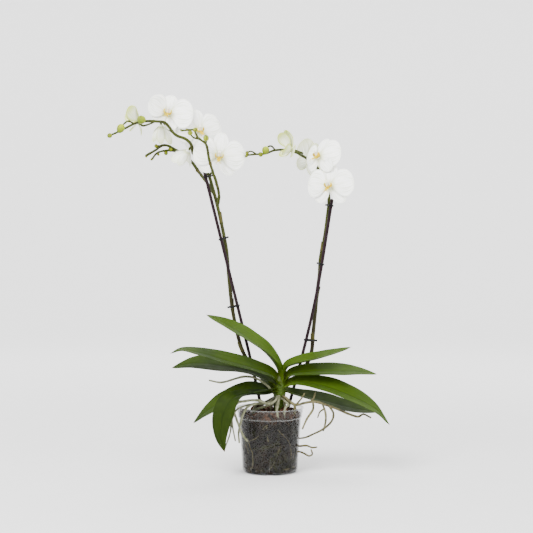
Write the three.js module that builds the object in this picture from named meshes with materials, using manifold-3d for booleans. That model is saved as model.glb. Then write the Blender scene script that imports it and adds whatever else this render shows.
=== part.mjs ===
// A white moth orchid in its clear nursery pot, as a scene of named solids.
//
// Units are millimetres and +Z is up. The origin is the centre of the pot's underside, +X is to the
// right and -Y is the side that the plant is looked at from. A short stem stands in bark, with nine
// strap leaves in two ranks, aerial roots, and two flower spikes that are clipped to thin stakes.
import * as THREE from "three";
import { mergeVertices } from "three/addons/utils/BufferGeometryUtils.js";
import Module from "manifold-3d";

const wasm = await Module();
wasm.setup();

// ---------- driving dimensions ----------
const GAP = 0.3; // clearance kept between pieces that rest against each other
const DEG = Math.PI / 180;

const POT = {
  height: 115,
  baseRadius: 49.5, // at the top of the rounded bottom corner
  cornerHeight: 4,
  footRadius: 46, // the flat that stands on the table
  ledgeHeight: 96, // where the wall steps out into the rim band
  wallRadiusAtLedge: 56,
  bandRadius: 57.6, // the rim band's foot
  rimRadius: 60,
  wall: 1.2,
  segments: 26,
  notch: { width: 12, height: 7, reach: 16, count: 4 }, // drain notches cut in the bottom corner
  slot: { width: 8, low: 25, high: 64, angles: [0, 180] }, // side slots that roots grow through
};

const BARK = {
  top: 103,
  clearance: 0.4, // to the pot's wall
  chips: 12,
  chip: [20, 13, 9],
  spread: 40,
  seed: 7,
};

const STEM = {
  path: [[16, 2, 70], [16, 1, 112], [17, 0, 140], [18, 0, 156], [21, 0, 176]],
  radii: [6.5, 8, 10.5, 11, 5],
};

const STAKE_RADIUS = 2.7;
const STAKES = {
  stake_left: [[3, 44, 14], [-28, 33, 165], [-64, 20, 316], [-121, 2, 549]],
  stake_right: [[6, 34, 14], [50, 25, 171], [84, 15, 316], [112, 5.4, 487]],
};

// ---------- materials ----------
const finish = (color, roughness, extra = {}) =>
  new THREE.MeshStandardMaterial({ color, roughness, metalness: 0, ...extra });

const CLEAR_PLASTIC = finish(0xb9bcb8, 0.25, { transparent: true, opacity: 0.35 });
const BARK_BROWN = finish(0x3a312b, 0.95);
const LEAF_GREEN = finish(0x3f6a1e, 0.4);
const STEM_GREEN = finish(0x55602a, 0.55);
const ROOT_SILVER = finish(0xa9ab8a, 0.8);
const STAKE_PURPLE = finish(0x3c2a33, 0.5);
const CLIP_BLACK = finish(0x1d1d20, 0.45);
const PETAL_WHITE = finish(0xf4f5f0, 0.6);
const LIP_YELLOW = finish(0xf0d98a, 0.55);

// ---------- solids ----------

// A closed geometry as a solid that can be joined and cut. Faces that have shrunk to a line are dropped.
function solidOf(geometry) {
  const bare = new THREE.BufferGeometry();
  bare.setAttribute("position", geometry.getAttribute("position"));
  bare.setIndex(geometry.index);
  const merged = mergeVertices(bare, 1e-4);
  const corners = merged.index.array;
  const kept = [];
  for (let i = 0; i < corners.length; i += 3) {
    const [a, b, c] = corners.slice(i, i + 3);
    if (a !== b && b !== c && c !== a) kept.push(a, b, c);
  }
  const vertProperties = new Float32Array(merged.getAttribute("position").array);
  return new wasm.Manifold(
    new wasm.Mesh({ numProp: 3, vertProperties, triVerts: new Uint32Array(kept) }),
  );
}

const join = (solids) => wasm.Manifold.union(solids);

// A solid's largest body: a scrap that a cut leaves loose is dropped.
function largestBody(solid) {
  const bodies = solid.decompose();
  return bodies.reduce((best, body) => (body.volume() > best.volume() ? body : best));
}

function meshOf(name, solid, material) {
  const { vertProperties, triVerts } = solid.getMesh();
  const geometry = new THREE.BufferGeometry();
  geometry.setAttribute("position", new THREE.BufferAttribute(new Float32Array(vertProperties), 3));
  geometry.setIndex(new THREE.BufferAttribute(new Uint32Array(triVerts), 1));
  geometry.computeVertexNormals();
  const mesh = new THREE.Mesh(geometry, material);
  mesh.name = name;
  return mesh;
}

// A small repeatable source of numbers between 0 and 1.
function seededRandom(seed) {
  let state = seed;
  return () => {
    state = (state * 16807) % 2147483647;
    return state / 2147483647;
  };
}

const vector = ([x, y, z]) => new THREE.Vector3(x, y, z);
const mix = THREE.MathUtils.lerp;

// ---------- shared shapes ----------

// A list of values read at t, from 0 at the first to 1 at the last.
function along(values, t) {
  const place = t * (values.length - 1);
  const i = Math.min(Math.floor(place), values.length - 2);
  return mix(values[i], values[i + 1], place - i);
}

// A round stalk along a smooth path. grow thickens it all over, to cut the hole that it stands in.
function stalk(path, radii, { sides = 6, steps = 3 * path.length, grow = 0 } = {}) {
  const curve = new THREE.CatmullRomCurve3(path.map(vector), false, "centripetal");
  const centres = curve.getSpacedPoints(steps);
  const frames = curve.computeFrenetFrames(steps, false);
  if (grow) {
    centres[0].addScaledVector(frames.tangents[0], -grow);
    centres[steps].addScaledVector(frames.tangents[steps], grow);
  }
  const positions = [];
  for (let i = 0; i <= steps; i++) {
    const radius = along(radii, i / steps) + grow;
    for (let s = 0; s < sides; s++) {
      const angle = (2 * Math.PI * s) / sides;
      const point = centres[i].clone();
      point.addScaledVector(frames.normals[i], radius * Math.cos(angle));
      point.addScaledVector(frames.binormals[i], radius * Math.sin(angle));
      positions.push(...point.toArray());
    }
  }
  const [first, last] = [positions.length / 3, positions.length / 3 + 1];
  positions.push(...centres[0].toArray(), ...centres[steps].toArray());
  const index = [];
  for (let s = 0; s < sides; s++) {
    const next = (s + 1) % sides;
    for (let i = 0; i < steps; i++) {
      const [a, b] = [i * sides + s, i * sides + next];
      index.push(a, b, a + sides, b, b + sides, a + sides);
    }
    const end = steps * sides;
    index.push(first, next, s, last, end + s, end + next);
  }
  return solidOf(indexed(positions, index));
}

function indexed(positions, index) {
  const geometry = new THREE.BufferGeometry();
  geometry.setAttribute("position", new THREE.Float32BufferAttribute(positions, 3));
  geometry.setIndex(index);
  return geometry;
}

// A thin blade over a grid of rows (t, base to tip) and columns (v, edge to edge). place(t, v) gives
// the middle surface's point, its normal and the thickness there. Both faces have the same triangles.
function blade(rows, columns, place) {
  const faces = [[], []];
  const width = columns + 1;
  for (let i = 0; i <= rows; i++) {
    const t = (1 - Math.cos((Math.PI * i) / rows)) / 2; // closer together towards both ends
    for (let j = 0; j <= columns; j++) {
      const { point, normal, thickness } = place(t, (2 * j) / columns - 1);
      faces[0].push(...point.clone().addScaledVector(normal, thickness / 2).toArray());
      faces[1].push(...point.clone().addScaledVector(normal, -thickness / 2).toArray());
    }
  }
  const under = (rows + 1) * width; // what a vertex of the upper face adds to reach the lower face
  const index = [];
  const quad = (a, b, c, d) => index.push(a, b, c, a, c, d);
  for (let i = 0; i < rows; i++) {
    for (let j = 0; j < columns; j++) {
      const a = i * width + j;
      const [b, c, d] = [a + 1, a + width + 1, a + width];
      index.push(a, b, c, a, c, d);
      index.push(a + under, c + under, b + under, a + under, d + under, c + under);
    }
    const [left, right] = [i * width, i * width + columns];
    quad(left, left + width, left + width + under, left + under);
    quad(right, right + under, right + width + under, right + width);
  }
  for (let j = 0; j < columns; j++) {
    const tip = rows * width + j;
    quad(j, j + under, j + 1 + under, j + 1);
    quad(tip, tip + 1, tip + 1 + under, tip + under);
  }
  const solid = solidOf(indexed([...faces[0], ...faces[1]], index));
  return solid.volume() < 0 ? solidOf(indexed([...faces[0], ...faces[1]], index.reverse())) : solid;
}

// ---------- pot ----------

// The wall's outer radius at a height, below the rim band.
function wallRadius(z) {
  const { baseRadius, wallRadiusAtLedge, cornerHeight, ledgeHeight } = POT;
  return mix(baseRadius, wallRadiusAtLedge, (z - cornerHeight) / (ledgeHeight - cornerHeight));
}

const lathe = (profile, segments) =>
  solidOf(new THREE.LatheGeometry(profile.map(([r, z]) => new THREE.Vector2(r, z)), segments)
    .rotateX(Math.PI / 2));

// A wedge that opens downwards, across the pot's bottom corner at an angle round the pot.
function drainNotch(angle) {
  const { width, height, reach } = POT.notch;
  const outline = new THREE.Shape([
    new THREE.Vector2(-width / 2, -1),
    new THREE.Vector2(width / 2, -1),
    new THREE.Vector2(1, height),
    new THREE.Vector2(-1, height),
  ]);
  const wedge = new THREE.ExtrudeGeometry(outline, { depth: reach, bevelEnabled: false });
  return solidOf(wedge.rotateX(Math.PI / 2).translate(0, POT.wallRadiusAtLedge, 0).rotateZ(angle));
}

function buildPot() {
  const { wall, height, ledgeHeight, bandRadius, rimRadius, footRadius, cornerHeight } = POT;
  const outside = [
    [0, 0],
    [footRadius, 0],
    [wallRadius(cornerHeight) - 1, 1.4],
    [wallRadius(cornerHeight), cornerHeight],
    [POT.wallRadiusAtLedge, ledgeHeight],
    [bandRadius, ledgeHeight + 1.5],
    [rimRadius - 0.6, height - 2.5],
    [rimRadius + 0.6, height - 1.8],
    [rimRadius + 0.6, height],
  ];
  const inside = [
    [rimRadius - wall, height],
    [bandRadius - wall, ledgeHeight + 1.5 + wall],
    [POT.wallRadiusAtLedge - wall, ledgeHeight + wall],
    [wallRadius(cornerHeight) - wall, cornerHeight + wall],
    [footRadius - wall, wall],
    [0, wall],
  ];
  let pot = lathe([...outside, ...inside], POT.segments);
  for (let i = 0; i < POT.notch.count; i++) {
    pot = pot.subtract(drainNotch((i * 2 * Math.PI) / POT.notch.count));
  }
  const { width, low, high, angles } = POT.slot;
  for (const angle of angles) {
    const slot = new THREE.BoxGeometry(20, width, high - low);
    slot.translate(wallRadius((low + high) / 2), 0, (low + high) / 2).rotateZ(angle * DEG);
    pot = pot.subtract(solidOf(slot));
  }
  return pot;
}

// ---------- bark ----------

function barkChip(random) {
  const [length, width, thick] = BARK.chip.map((size) => size * (0.6 + 0.6 * random()));
  const chip = new THREE.BoxGeometry(length, width, thick);
  const turn = new THREE.Euler((random() - 0.5) * 0.9, (random() - 0.5) * 0.9, random() * Math.PI);
  chip.applyMatrix4(new THREE.Matrix4().makeRotationFromEuler(turn));
  const radius = BARK.spread * Math.sqrt(random());
  const angle = random() * 2 * Math.PI;
  chip.translate(radius * Math.cos(angle), radius * Math.sin(angle), BARK.top + random() * 3);
  return solidOf(chip);
}

// The bark that fills the pot, with loose chips standing out of its top. holes are the things in it.
function buildBark(holes) {
  const inset = POT.wall + BARK.clearance;
  const body = lathe(
    [
      [0, POT.wall + BARK.clearance],
      [POT.footRadius - inset - 1, POT.wall + BARK.clearance],
      [wallRadius(POT.cornerHeight) - inset, POT.cornerHeight + inset],
      [POT.wallRadiusAtLedge - inset, POT.ledgeHeight],
      [POT.wallRadiusAtLedge - inset - 1, BARK.top],
      [0, BARK.top],
    ],
    POT.segments,
  );
  const random = seededRandom(BARK.seed);
  const chips = Array.from({ length: BARK.chips }, () => barkChip(random));
  return largestBody(join([body, ...chips]).subtract(join(holes)));
}

// ---------- leaves ----------

// Each leaf: the middle of the blade from stem to tip, its half width, the direction across it to its
// back edge (at even steps from base to tip), and how deep its channel is (base, tip).
const LEAVES = {
  leaf_upper_left: {
    spine: [
      [20, 0, 160], [18, -5, 184], [-2, -12, 214], [-39, -16, 242], [-78, -14, 265],
      [-114, -10, 281],
    ],
    across: [[0, 1, 0.3], [0, 1, 0.34], [0, 1, 0.38]], halfWidth: 30, channel: [0.7, 0.12],
  },
  leaf_left_front: {
    spine: [
      [20, 0, 155], [5, -14, 174], [-26, -30, 188], [-71, -44, 202], [-118, -50, 215],
      [-157, -50, 222], [-175, -50, 215],
    ],
    across: [[0, 1, 0.6], [0, 1, 0.32], [0, 1, 0.22], [0, 1, 0.14]], halfWidth: 30, channel: [0.6, 0.1],
  },
  leaf_left_back: {
    spine: [
      [16, 1, 150], [-2, 0, 163], [-44, -3, 183], [-93, -4, 191], [-137, -3, 194], [-177, 0, 185],
    ],
    across: [[0, 1, 0.3], [0, 1, 0.4], [0, 1, 0.4]], halfWidth: 31, channel: [0.6, 0.1],
  },
  leaf_lower_left: {
    spine: [
      [18, 0, 152], [-6, -8, 149], [-39, -22, 149], [-79, -36, 133], [-112, -43, 112],
      [-135, -44, 92],
    ],
    across: [[0, 1, 0.3], [0, 1, 0.42], [0, 1, 0.45]], halfWidth: 27, channel: [0.5, 0.1],
  },
  leaf_front_hanging: {
    spine: [
      [17, -2, 146], [-6, -20, 143], [-39, -52, 146], [-67, -70, 138], [-82, -75, 108],
      [-85, -72, 73], [-79, -70, 46],
    ],
    across: [[-0.3, 1, 0.2], [-0.6, 0.8, 0.1], [-0.95, 0.3, 0], [-0.97, 0.25, 0]],
    halfWidth: 20, channel: [0.5, 0.15],
  },
  leaf_upper_right: {
    spine: [[20, 2, 166], [29, 2, 188], [46, -2, 196], [84, -2, 205], [118, 2, 214], [146, 6, 222]],
    across: [[0, 1, 0.4], [0, 1, 0.24], [0, 1, 0.2]], halfWidth: 21, channel: [0.7, 0.15],
  },
  leaf_right_middle: {
    spine: [
      [22, 0, 160], [38, -4, 175], [68, -9, 180], [119, -10, 181], [163, -7, 179], [192, -4, 174],
    ],
    across: [[0, 1, 0.5], [0, 1, 0.34], [0, 1, 0.28]], halfWidth: 27, channel: [0.6, 0.1],
  },
  leaf_right_front: {
    spine: [
      [22, -2, 152], [47, -14, 162], [92, -30, 158], [142, -40, 141], [185, -42, 117],
      [211, -38, 88],
    ],
    across: [[0, 1, 0.4], [0, 1, 0.4], [0, 1, 0.4]], halfWidth: 31, channel: [0.5, 0.1],
  },
  leaf_lower_right: {
    spine: [[20, 0, 148], [48, 2, 139], [96, 6, 127], [143, 10, 113], [193, 12, 103]],
    across: [[0, 1, 0.3], [0, 1, 0.36], [0, 1, 0.3]], halfWidth: 26, channel: [0.5, 0.1],
  },
};
const LEAF_THICKNESS = [3.2, 1.4]; // at the midrib and at the edge
const LEAF_CLEARANCE = 0.5; // to the leaf before, where the bases overlap
const LEAF_ROWS = 10;
const LEAF_WIDEST = 0.58; // how far along the blade is widest
const LEAF_CLAW = 0.3; // the width where it clasps the stem, as a share of the widest

// Half of the outline's width at t, as a share of the widest: a clasping base and a pointed tip.
function leafOutline(t) {
  if (t < LEAF_WIDEST) return mix(LEAF_CLAW, 1, Math.sin((Math.PI / 2) * (t / LEAF_WIDEST)));
  return Math.cos((Math.PI / 2) * ((t - LEAF_WIDEST) / (1 - LEAF_WIDEST))) ** 0.8;
}

function buildLeaf({ spine, across, halfWidth, channel }, grow = 0) {
  const curve = new THREE.CatmullRomCurve3(spine.map(vector), false, "centripetal");
  const facing = (t) => {
    const tangent = curve.getTangentAt(t);
    const side = new THREE.Vector3(...[0, 1, 2].map((i) => along(across.map((one) => one[i]), t)));
    side.addScaledVector(tangent, -side.dot(tangent)).normalize();
    return { side, normal: new THREE.Vector3().crossVectors(side, tangent) };
  };
  const upwards = Math.sign(facing(0.4).normal.z);
  return blade(LEAF_ROWS, 4, (t, v) => {
    const { side, normal } = facing(t);
    normal.multiplyScalar(upwards);
    const half = halfWidth * leafOutline(t) + grow;
    const fold = mix(channel[0], channel[1], Math.sqrt(t)) * half * (Math.abs(v) ** 1.4 - 0.4);
    const point = curve.getPointAt(t);
    if (t === 0 || t === 1) point.addScaledVector(curve.getTangentAt(t), t ? grow : -grow);
    point.addScaledVector(side, v * half).addScaledVector(normal, fold);
    const thickness = mix(LEAF_THICKNESS[0], LEAF_THICKNESS[1], Math.abs(v)) + 2 * grow;
    return { point, normal, thickness };
  });
}

// ---------- flowers ----------

const UPPER_SEPAL = { length: 42, halfWidth: 14, claw: 0.3, widest: 0.52 };
const LOWER_SEPAL = { length: 38, halfWidth: 14, claw: 0.3, widest: 0.55 };
const PETAL = { length: 44, halfWidth: 27, claw: 0.12, widest: 0.55 };
const PETAL_ANGLE = 12; // above the level of the flower's middle
const LOWER_SEPAL_ANGLE = 46; // to either side of straight down
const LAYER = 1.3; // petals stand this far in front of the flower's plane, and sepals behind it
const TEPAL_THICKNESS = 0.9;
const HUB = { back: -6, front: 2.5, radius: 4.4, claws: 3.6 };

// A pose lists a flower's tepals: the kind, its angle round the flower, how far it is swept forward
// round the lip (degrees), and its shares of the usual width and length. Then come the size of the lip
// and how far each tepal curls forward from its foot to its tip.
function openPose(petals, upper, lower, width, lip, curl) {
  const tepals = [
    [UPPER_SEPAL, 90, upper, width, 1],
    [LOWER_SEPAL, 270 - LOWER_SEPAL_ANGLE, lower, width, 1],
    [LOWER_SEPAL, 270 + LOWER_SEPAL_ANGLE, lower, width, 1],
    [PETAL, PETAL_ANGLE, petals[0], width, 1],
    [PETAL, 180 - PETAL_ANGLE, petals[1], width, 1],
  ];
  return { tepals, lip, curl };
}

const OPEN = openPose([-10, -10], -10, -10, 1, [1, 1, 1], -10);
const TURNED_AWAY = openPose([-38, -10], -10, -10, 1, [1, 1, 1], -10);
const CUPPED = openPose([60, 60], 58, 58, 0.7, [0.4, 0.55, 1], 30);
const REFLEXED = {
  tepals: [
    [UPPER_SEPAL, 90, -24, 1, 1], [LOWER_SEPAL, 224, -8, 0.85, 0.85], [LOWER_SEPAL, 316, -8, 1, 1],
    [PETAL, 12, -16, 1.05, 1], [PETAL, 168, -14, 0.8, 0.75],
  ],
  lip: [1, 1, 1], curl: -10,
};
const DISHED = {
  tepals: [
    [UPPER_SEPAL, 92, -14, 1.05, 0.92], [LOWER_SEPAL, 224, 28, 0.9, 0.8],
    [LOWER_SEPAL, 300, 10, 0.8, 0.85], [PETAL, 12, 4, 1.08, 1], [PETAL, 166, 32, 0.85, 0.9],
  ],
  lip: [1, 1, 1], curl: 10,
};
const NODDING = {
  tepals: [
    [UPPER_SEPAL, 90, 58, 0.72, 0.95], [LOWER_SEPAL, 224, 62, 0.8, 0.95],
    [LOWER_SEPAL, 316, 62, 0.8, 0.95], [PETAL, 28, 60, 0.5, 1.05], [PETAL, 152, 60, 0.5, 0.9],
  ],
  lip: [0.4, 0.55, 1], curl: 55,
};
const HALF_OPEN = {
  tepals: [
    [UPPER_SEPAL, 90, 54, 1, 0.74], [LOWER_SEPAL, 305, 5, 1, 0.75], [LOWER_SEPAL, 250, -55, 0.5, 0.8],
    [PETAL, 20, 56, 0.7, 0.95], [PETAL, 168, 62, 0.66, 0.85],
  ],
  lip: [0.45, 0.55, 1], curl: 45,
};
const OPENING = {
  tepals: [
    [UPPER_SEPAL, 84, 36, 1.05, 0.9], [LOWER_SEPAL, 232, 50, 0.75, 0.65], [LOWER_SEPAL, 336, 30, 1, 0.75],
    [PETAL, -34, 66, 0.55, 0.75], [PETAL, 112, 40, 0.62, 0.85],
  ],
  lip: [0.6, 0.7, 1], curl: 35,
};

// Each flower: where its tepals meet, which way it faces (turned to the right, tipped up and rolled,
// in degrees), its size and how open it is.
const FLOWERS = {
  flower_left_1: { at: [-185, 8, 644], turn: 4, tip: 12, roll: -14, size: 0.98, pose: DISHED },
  flower_left_2: { at: [-128, 17, 614], turn: 18, tip: 4, roll: 9, size: 0.93, pose: OPEN },
  flower_left_3: { at: [-91, -15, 564], turn: 4, tip: 0, roll: -8, size: 1, pose: OPEN },
  flower_left_4: { at: [-198, 20, 622], turn: 180, tip: -62, roll: 180, size: 0.8, pose: NODDING },
  flower_left_5: { at: [-149, 18, 577], turn: -135, tip: -39, roll: 0, size: 0.78, pose: CUPPED },
  flower_left_6: { at: [-242, 26, 632], turn: -80, tip: 38, roll: 0, size: 0.82, pose: HALF_OPEN },
  flower_right_1: { at: [87, -14, 564.5], turn: -42, tip: 12, roll: 2, size: 0.92, pose: REFLEXED },
  flower_right_2: { at: [105, -32, 510], turn: -25, tip: 4, roll: 0, size: 0.95, pose: OPEN },
  flower_right_3: { at: [72, 66, 564], turn: -138, tip: 0, roll: -106, size: 0.9, pose: TURNED_AWAY },
  flower_right_4: { at: [37, -6, 578], turn: -50, tip: 8, roll: 0, size: 0.88, pose: OPENING },
};

// From a flower's own axes (right, up, out of its face) to the plant's.
function flowerMatrix({ at, turn, tip, roll, size }) {
  const out = new THREE.Vector3(
    Math.sin(turn * DEG) * Math.cos(tip * DEG),
    -Math.cos(turn * DEG) * Math.cos(tip * DEG),
    Math.sin(tip * DEG),
  );
  const right = new THREE.Vector3(0, 0, 1).cross(out).normalize();
  const up = new THREE.Vector3().crossVectors(out, right);
  return new THREE.Matrix4()
    .makeBasis(right, up, out)
    .multiply(new THREE.Matrix4().makeRotationZ(roll * DEG))
    .scale(new THREE.Vector3(size, size, size))
    .setPosition(...at);
}

const moved = (solid, matrix) => solid.transform(matrix.elements);

// Half of a tepal's width at t, as a share of its widest: a narrow claw that opens, then a round end.
function tepalOutline(t, { claw, widest }) {
  if (t < widest) return mix(claw, 1, Math.sin((Math.PI / 2) * (t / widest)));
  return Math.sqrt(Math.max(0, 1 - ((t - widest) / (1 - widest)) ** 2));
}

// One tepal that grows from the flower's middle at an angle round it and curls as it goes. A tepal
// that is swept forward also bends round the flower's axis, so that a young flower makes a cup.
function tepal([shape, angle, sweep, broad, long], curl) {
  const columns = shape === PETAL ? 4 : 2;
  const layer = shape === PETAL ? LAYER : -LAYER;
  const direction = new THREE.Vector3(Math.cos(angle * DEG), Math.sin(angle * DEG), 0);
  const side = new THREE.Vector3(-direction.y, direction.x, 0);
  const face = new THREE.Vector3(0, 0, 1);
  const start = (sweep - curl / 2) * DEG;
  const scale = (shape.length * long) / (curl * DEG);
  return blade(columns + 1 - (sweep > 30), columns, (t, v) => {
    const half = shape.halfWidth * broad * tepalOutline(t, shape);
    const rise = start + curl * DEG * t;
    const reach = HUB.claws + scale * (Math.sin(rise) - Math.sin(start));
    const ahead = scale * (Math.cos(start) - Math.cos(rise));
    const bendRadius = Math.sign(sweep) *
      Math.hypot(reach / Math.sin(sweep * DEG), 1.1 * shape.halfWidth * broad);
    const bend = (v * half) / bendRadius;
    const inward = face.clone().multiplyScalar(Math.cos(rise)).addScaledVector(direction, -Math.sin(rise));
    const point = direction.clone().multiplyScalar(reach).addScaledVector(face, ahead);
    point.addScaledVector(side, bendRadius * Math.sin(bend));
    point.addScaledVector(inward, bendRadius * (1 - Math.cos(bend)) + layer);
    return { point, normal: inward, thickness: TEPAL_THICKNESS };
  });
}

function buildTepals({ tepals, curl }) {
  const { back, front, radius } = HUB;
  const hub = lathe([[0, back], [2.2, back], [radius, -2.4], [radius, front], [0, front]], 6);
  return join([hub, ...tepals.map((one) => tepal(one, curl))]);
}

// The lip is one three-lobed plate, bent so that its side lobes stand up on both sides of the column.
// Its tongue runs forward and down to two tendrils. A short neck carries the plate and the column.
const LIP = {
  half: [[1.4, 0], [7, -1], [10.5, 2], [9.5, 6], [5.5, 7], [2.6, 6], [4.4, 10.5], [1.8, 15], [3.4, 19]],
  fork: [0, 16],
  thickness: 1.3,
  bendRadius: 13,
  droop: 123 * DEG, // from straight up to the way that the tongue runs
  root: [0, -2.6, 4.6],
  neck: { radius: 2.6, front: 7 },
  column: { path: [[0, 0.5, 6], [0, 6, 11.5]], radii: [2, 2.6] },
};

function buildLip() {
  const right = LIP.half.map(([x, y]) => new THREE.Vector2(x, y));
  const left = LIP.half.map(([x, y]) => new THREE.Vector2(-x, y)).reverse();
  const outline = new THREE.Shape([...right, new THREE.Vector2(...LIP.fork), ...left]);
  const plate = new THREE.ExtrudeGeometry(outline, { depth: LIP.thickness, bevelEnabled: false });
  const corners = plate.getAttribute("position");
  for (let i = 0; i < corners.count; i++) {
    const angle = corners.getX(i) / LIP.bendRadius;
    const radius = LIP.bendRadius + corners.getZ(i);
    corners.setX(i, radius * Math.sin(angle));
    corners.setZ(i, radius * Math.cos(angle) - LIP.bendRadius);
  }
  plate.rotateX(LIP.droop).translate(...LIP.root);
  const back = HUB.front + GAP / 0.75; // the gap stays wide enough on the smallest flower
  const { radius, front } = LIP.neck;
  const neck = lathe([[0, back], [radius, back], [radius, front], [0, front]], 5);
  const column = stalk(LIP.column.path, LIP.column.radii, { sides: 4, steps: 1 });
  return join([neck, column, solidOf(plate)]);
}

// ---------- spikes ----------

const STEM_STEPS = 26; // straight lengths that each spike's stem is made of

// A pedicel leaves the spike at "from", goes round through any points of "by" and ends square on the
// back of its flower.
const PEDICELS = {
  flower_left_1: { from: [-188, -8, 625], by: [[-184, 6, 624]] },
  flower_left_2: { from: [-135, 1, 571], by: [[-126, 18, 588]] },
  flower_left_3: { from: [-111, 13, 531], by: [[-102, 10, 544]] },
  flower_left_4: { from: [-172, -6, 604], by: [[-182, 2, 614]] },
  flower_left_5: { from: [-132, 4, 558], by: [[-140, -2, 572]] },
  flower_left_6: { from: [-212, -12, 627], by: [[-206, 4, 630]] },
  flower_right_1: { from: [91, 9, 538], by: [[100, 12, 550]] },
  flower_right_2: { from: [102, 15, 514], by: [[114, 4, 507]] },
  flower_right_3: { from: [76, 14, 558], by: [[80, 34, 562]] },
  flower_right_4: { from: [56, 27, 571], by: [[58, 10, 573]] },
};

const SPIKES = {
  spike_left: {
    stem: [
      [15, 6, 148], [0, 24, 154], [-20, 37, 168], [-37, 41, 190], [-50, 38, 212],
      [-67, 31, 280], [-75, 27, 349],
      [-79, 24, 396], [-84, 20, 425], [-93, 18, 467], [-103, 17, 506], [-113, 13, 537],
      [-128, 8, 556],
      [-138, 4, 572], [-142, -1, 587], [-151, -4, 596], [-170, -6, 604], [-188, -8, 625],
      [-202, -11, 627],
      [-222, -14, 627], [-240, -17, 623], [-257, -20, 614], [-270, -22, 607], [-283, -24, 601],
    ],
    radii: [3.5, 3.4, 3.2, 3.1, 2.8, 2.5, 1.5],
    branches: [
      {
        radii: [2.5, 2.3, 1.7],
        path: [
          [-102, 17, 500], [-115, 32, 520], [-131, 50, 542], [-147, 63, 564], [-160, 67, 577],
          [-173, 66, 583], [-190, 62, 592], [-200, 60, 592], [-211, 58, 584], [-229, 55, 573],
        ],
      },
      { radii: [1.6, 1.3], path: [[-170, 66, 581], [-190, 61, 583], [-209, 58, 578], [-218, 56, 567]] },
      { radii: [1, 0.9], path: [[-198, 60, 592], [-211, 58, 591]] },
      {
        radii: [2.2, 2, 1.6],
        path: [
          [-95, 18, 478], [-92, 4, 496], [-96, -14, 518], [-102, -26, 536], [-108, -33, 558],
          [-113, -37, 583], [-121, -37, 590], [-129, -37, 595],
        ],
      },
      {
        radii: [1.3, 0.9],
        path: [
          [-127, -37, 594], [-132, -38, 604], [-134, -38, 608], [-156, -38, 607],
        ],
      },
      { radii: [1, 0.9], path: [[-124, -37, 592], [-135, -38, 595], [-140, -39, 600]] },
      { radii: [1.2, 1.1], path: [[-113, -37, 581], [-113, -37, 590]] },
      { radii: [1.2, 1.1], path: [[-226, -14, 627], [-224, -24, 630], [-227, -30, 628]] },
      { radii: [1.1, 1], path: [[-243, -17, 622], [-252, -23, 626], [-262, -28, 618]] },
    ],
    buds: [
      { at: [-228, -32, 627], radius: 7.6, stretch: 1.08 },
      { at: [-265, -28, 612], radius: 6.9, stretch: 1.2 },
      { at: [-285, -25, 600], radius: 4.4, stretch: 1 },
      { at: [-113, -37, 594], radius: 5.2, stretch: 1.05 },
      { at: [-141, -39, 603], radius: 4.5, stretch: 1 },
      { at: [-132, -38, 608.6], radius: 4, stretch: 1 },
      { at: [-147, -38, 609], radius: 2.2, stretch: 1 },
      { at: [-157, -38, 608], radius: 2, stretch: 1 },
      { at: [-185, 64, 585], radius: 4.4, stretch: 1 },
      { at: [-193, 61, 578], radius: 3.8, stretch: 1 },
      { at: [-211, 58, 591], radius: 3.6, stretch: 1 },
      { at: [-229, 55, 572], radius: 2.4, stretch: 1.2 },
      { at: [-207, 58, 575], radius: 2.4, stretch: 1 },
      { at: [-219, 56, 566], radius: 2.2, stretch: 1.2 },
    ],
    nodes: [0.16, 0.28, 0.4, 0.52],
  },
  spike_right: {
    stem: [
      [22, 6, 148], [34, 25, 153], [53, 37, 167], [68, 38, 189], [76, 36, 210], [79, 32, 245],
      [83, 28, 286], [86, 26, 319],
      [90, 23, 352], [92, 19, 383], [99, 17, 419], [104, 16, 456], [107, 17, 484],
      [106, 17, 501], [98, 14, 521],
      [90, 10, 539], [80, 14, 554], [70, 26, 563], [61, 31, 569], [50, 30, 575], [30, 26, 580],
      [8, 14, 578], [-8, 4, 571], [-24, -4, 569], [-41, -8, 567],
    ],
    radii: [3.5, 3.4, 3.3, 3.2, 2.8, 2.2, 1.4],
    branches: [
      { path: [[10, 15, 578], [2, 6, 585], [-7, -2, 581]], radii: [1.1, 1] },
      { path: [[-24, -4, 569], [-34, -6, 574], [-41, -8, 572]], radii: [0.9, 0.8] },
      { path: [[-10, 0, 571], [-16, -2, 568]], radii: [1, 1] },
    ],
    buds: [
      { at: [-8, -4, 576], radius: 6.6, stretch: 1.12 },
      { at: [-17, -3, 569], radius: 4.2, stretch: 1.1 },
      { at: [-41, -8, 571], radius: 3.2, stretch: 1.1 },
      { at: [-42.5, -8, 565.5], radius: 2.8, stretch: 1.1 },
    ],
    nodes: [0.2, 0.34, 0.48],
  },
};

// The point of a spike's stem, as it is built, that is nearest to a given one.
function nearestOnStem(stem, point) {
  const curve = new THREE.CatmullRomCurve3(stem.map(vector), false, "centripetal");
  const centres = curve.getSpacedPoints(STEM_STEPS);
  const nearest = centres.slice(1).map((end, i) =>
    new THREE.Line3(centres[i], end).closestPointToPoint(vector(point), true, new THREE.Vector3()));
  nearest.sort((a, b) => a.distanceTo(vector(point)) - b.distanceTo(vector(point)));
  return nearest[0].toArray();
}

function pedicel(name, stem, grow) {
  const flower = FLOWERS[name];
  const matrix = flowerMatrix(flower);
  const behind = (distance) =>
    new THREE.Vector3(0, 0, HUB.back - distance / flower.size).applyMatrix4(matrix).toArray();
  const { from, by } = PEDICELS[name];
  const path = [nearestOnStem(stem, from), ...by, behind(7), behind(GAP + grow)];
  return stalk(path, [1.5, 1.3], { sides: 4, steps: 4, grow });
}

const buildBranch = ({ path, radii }, grow) =>
  stalk(path, radii, { sides: 5, steps: path.length - 1, grow });

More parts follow.
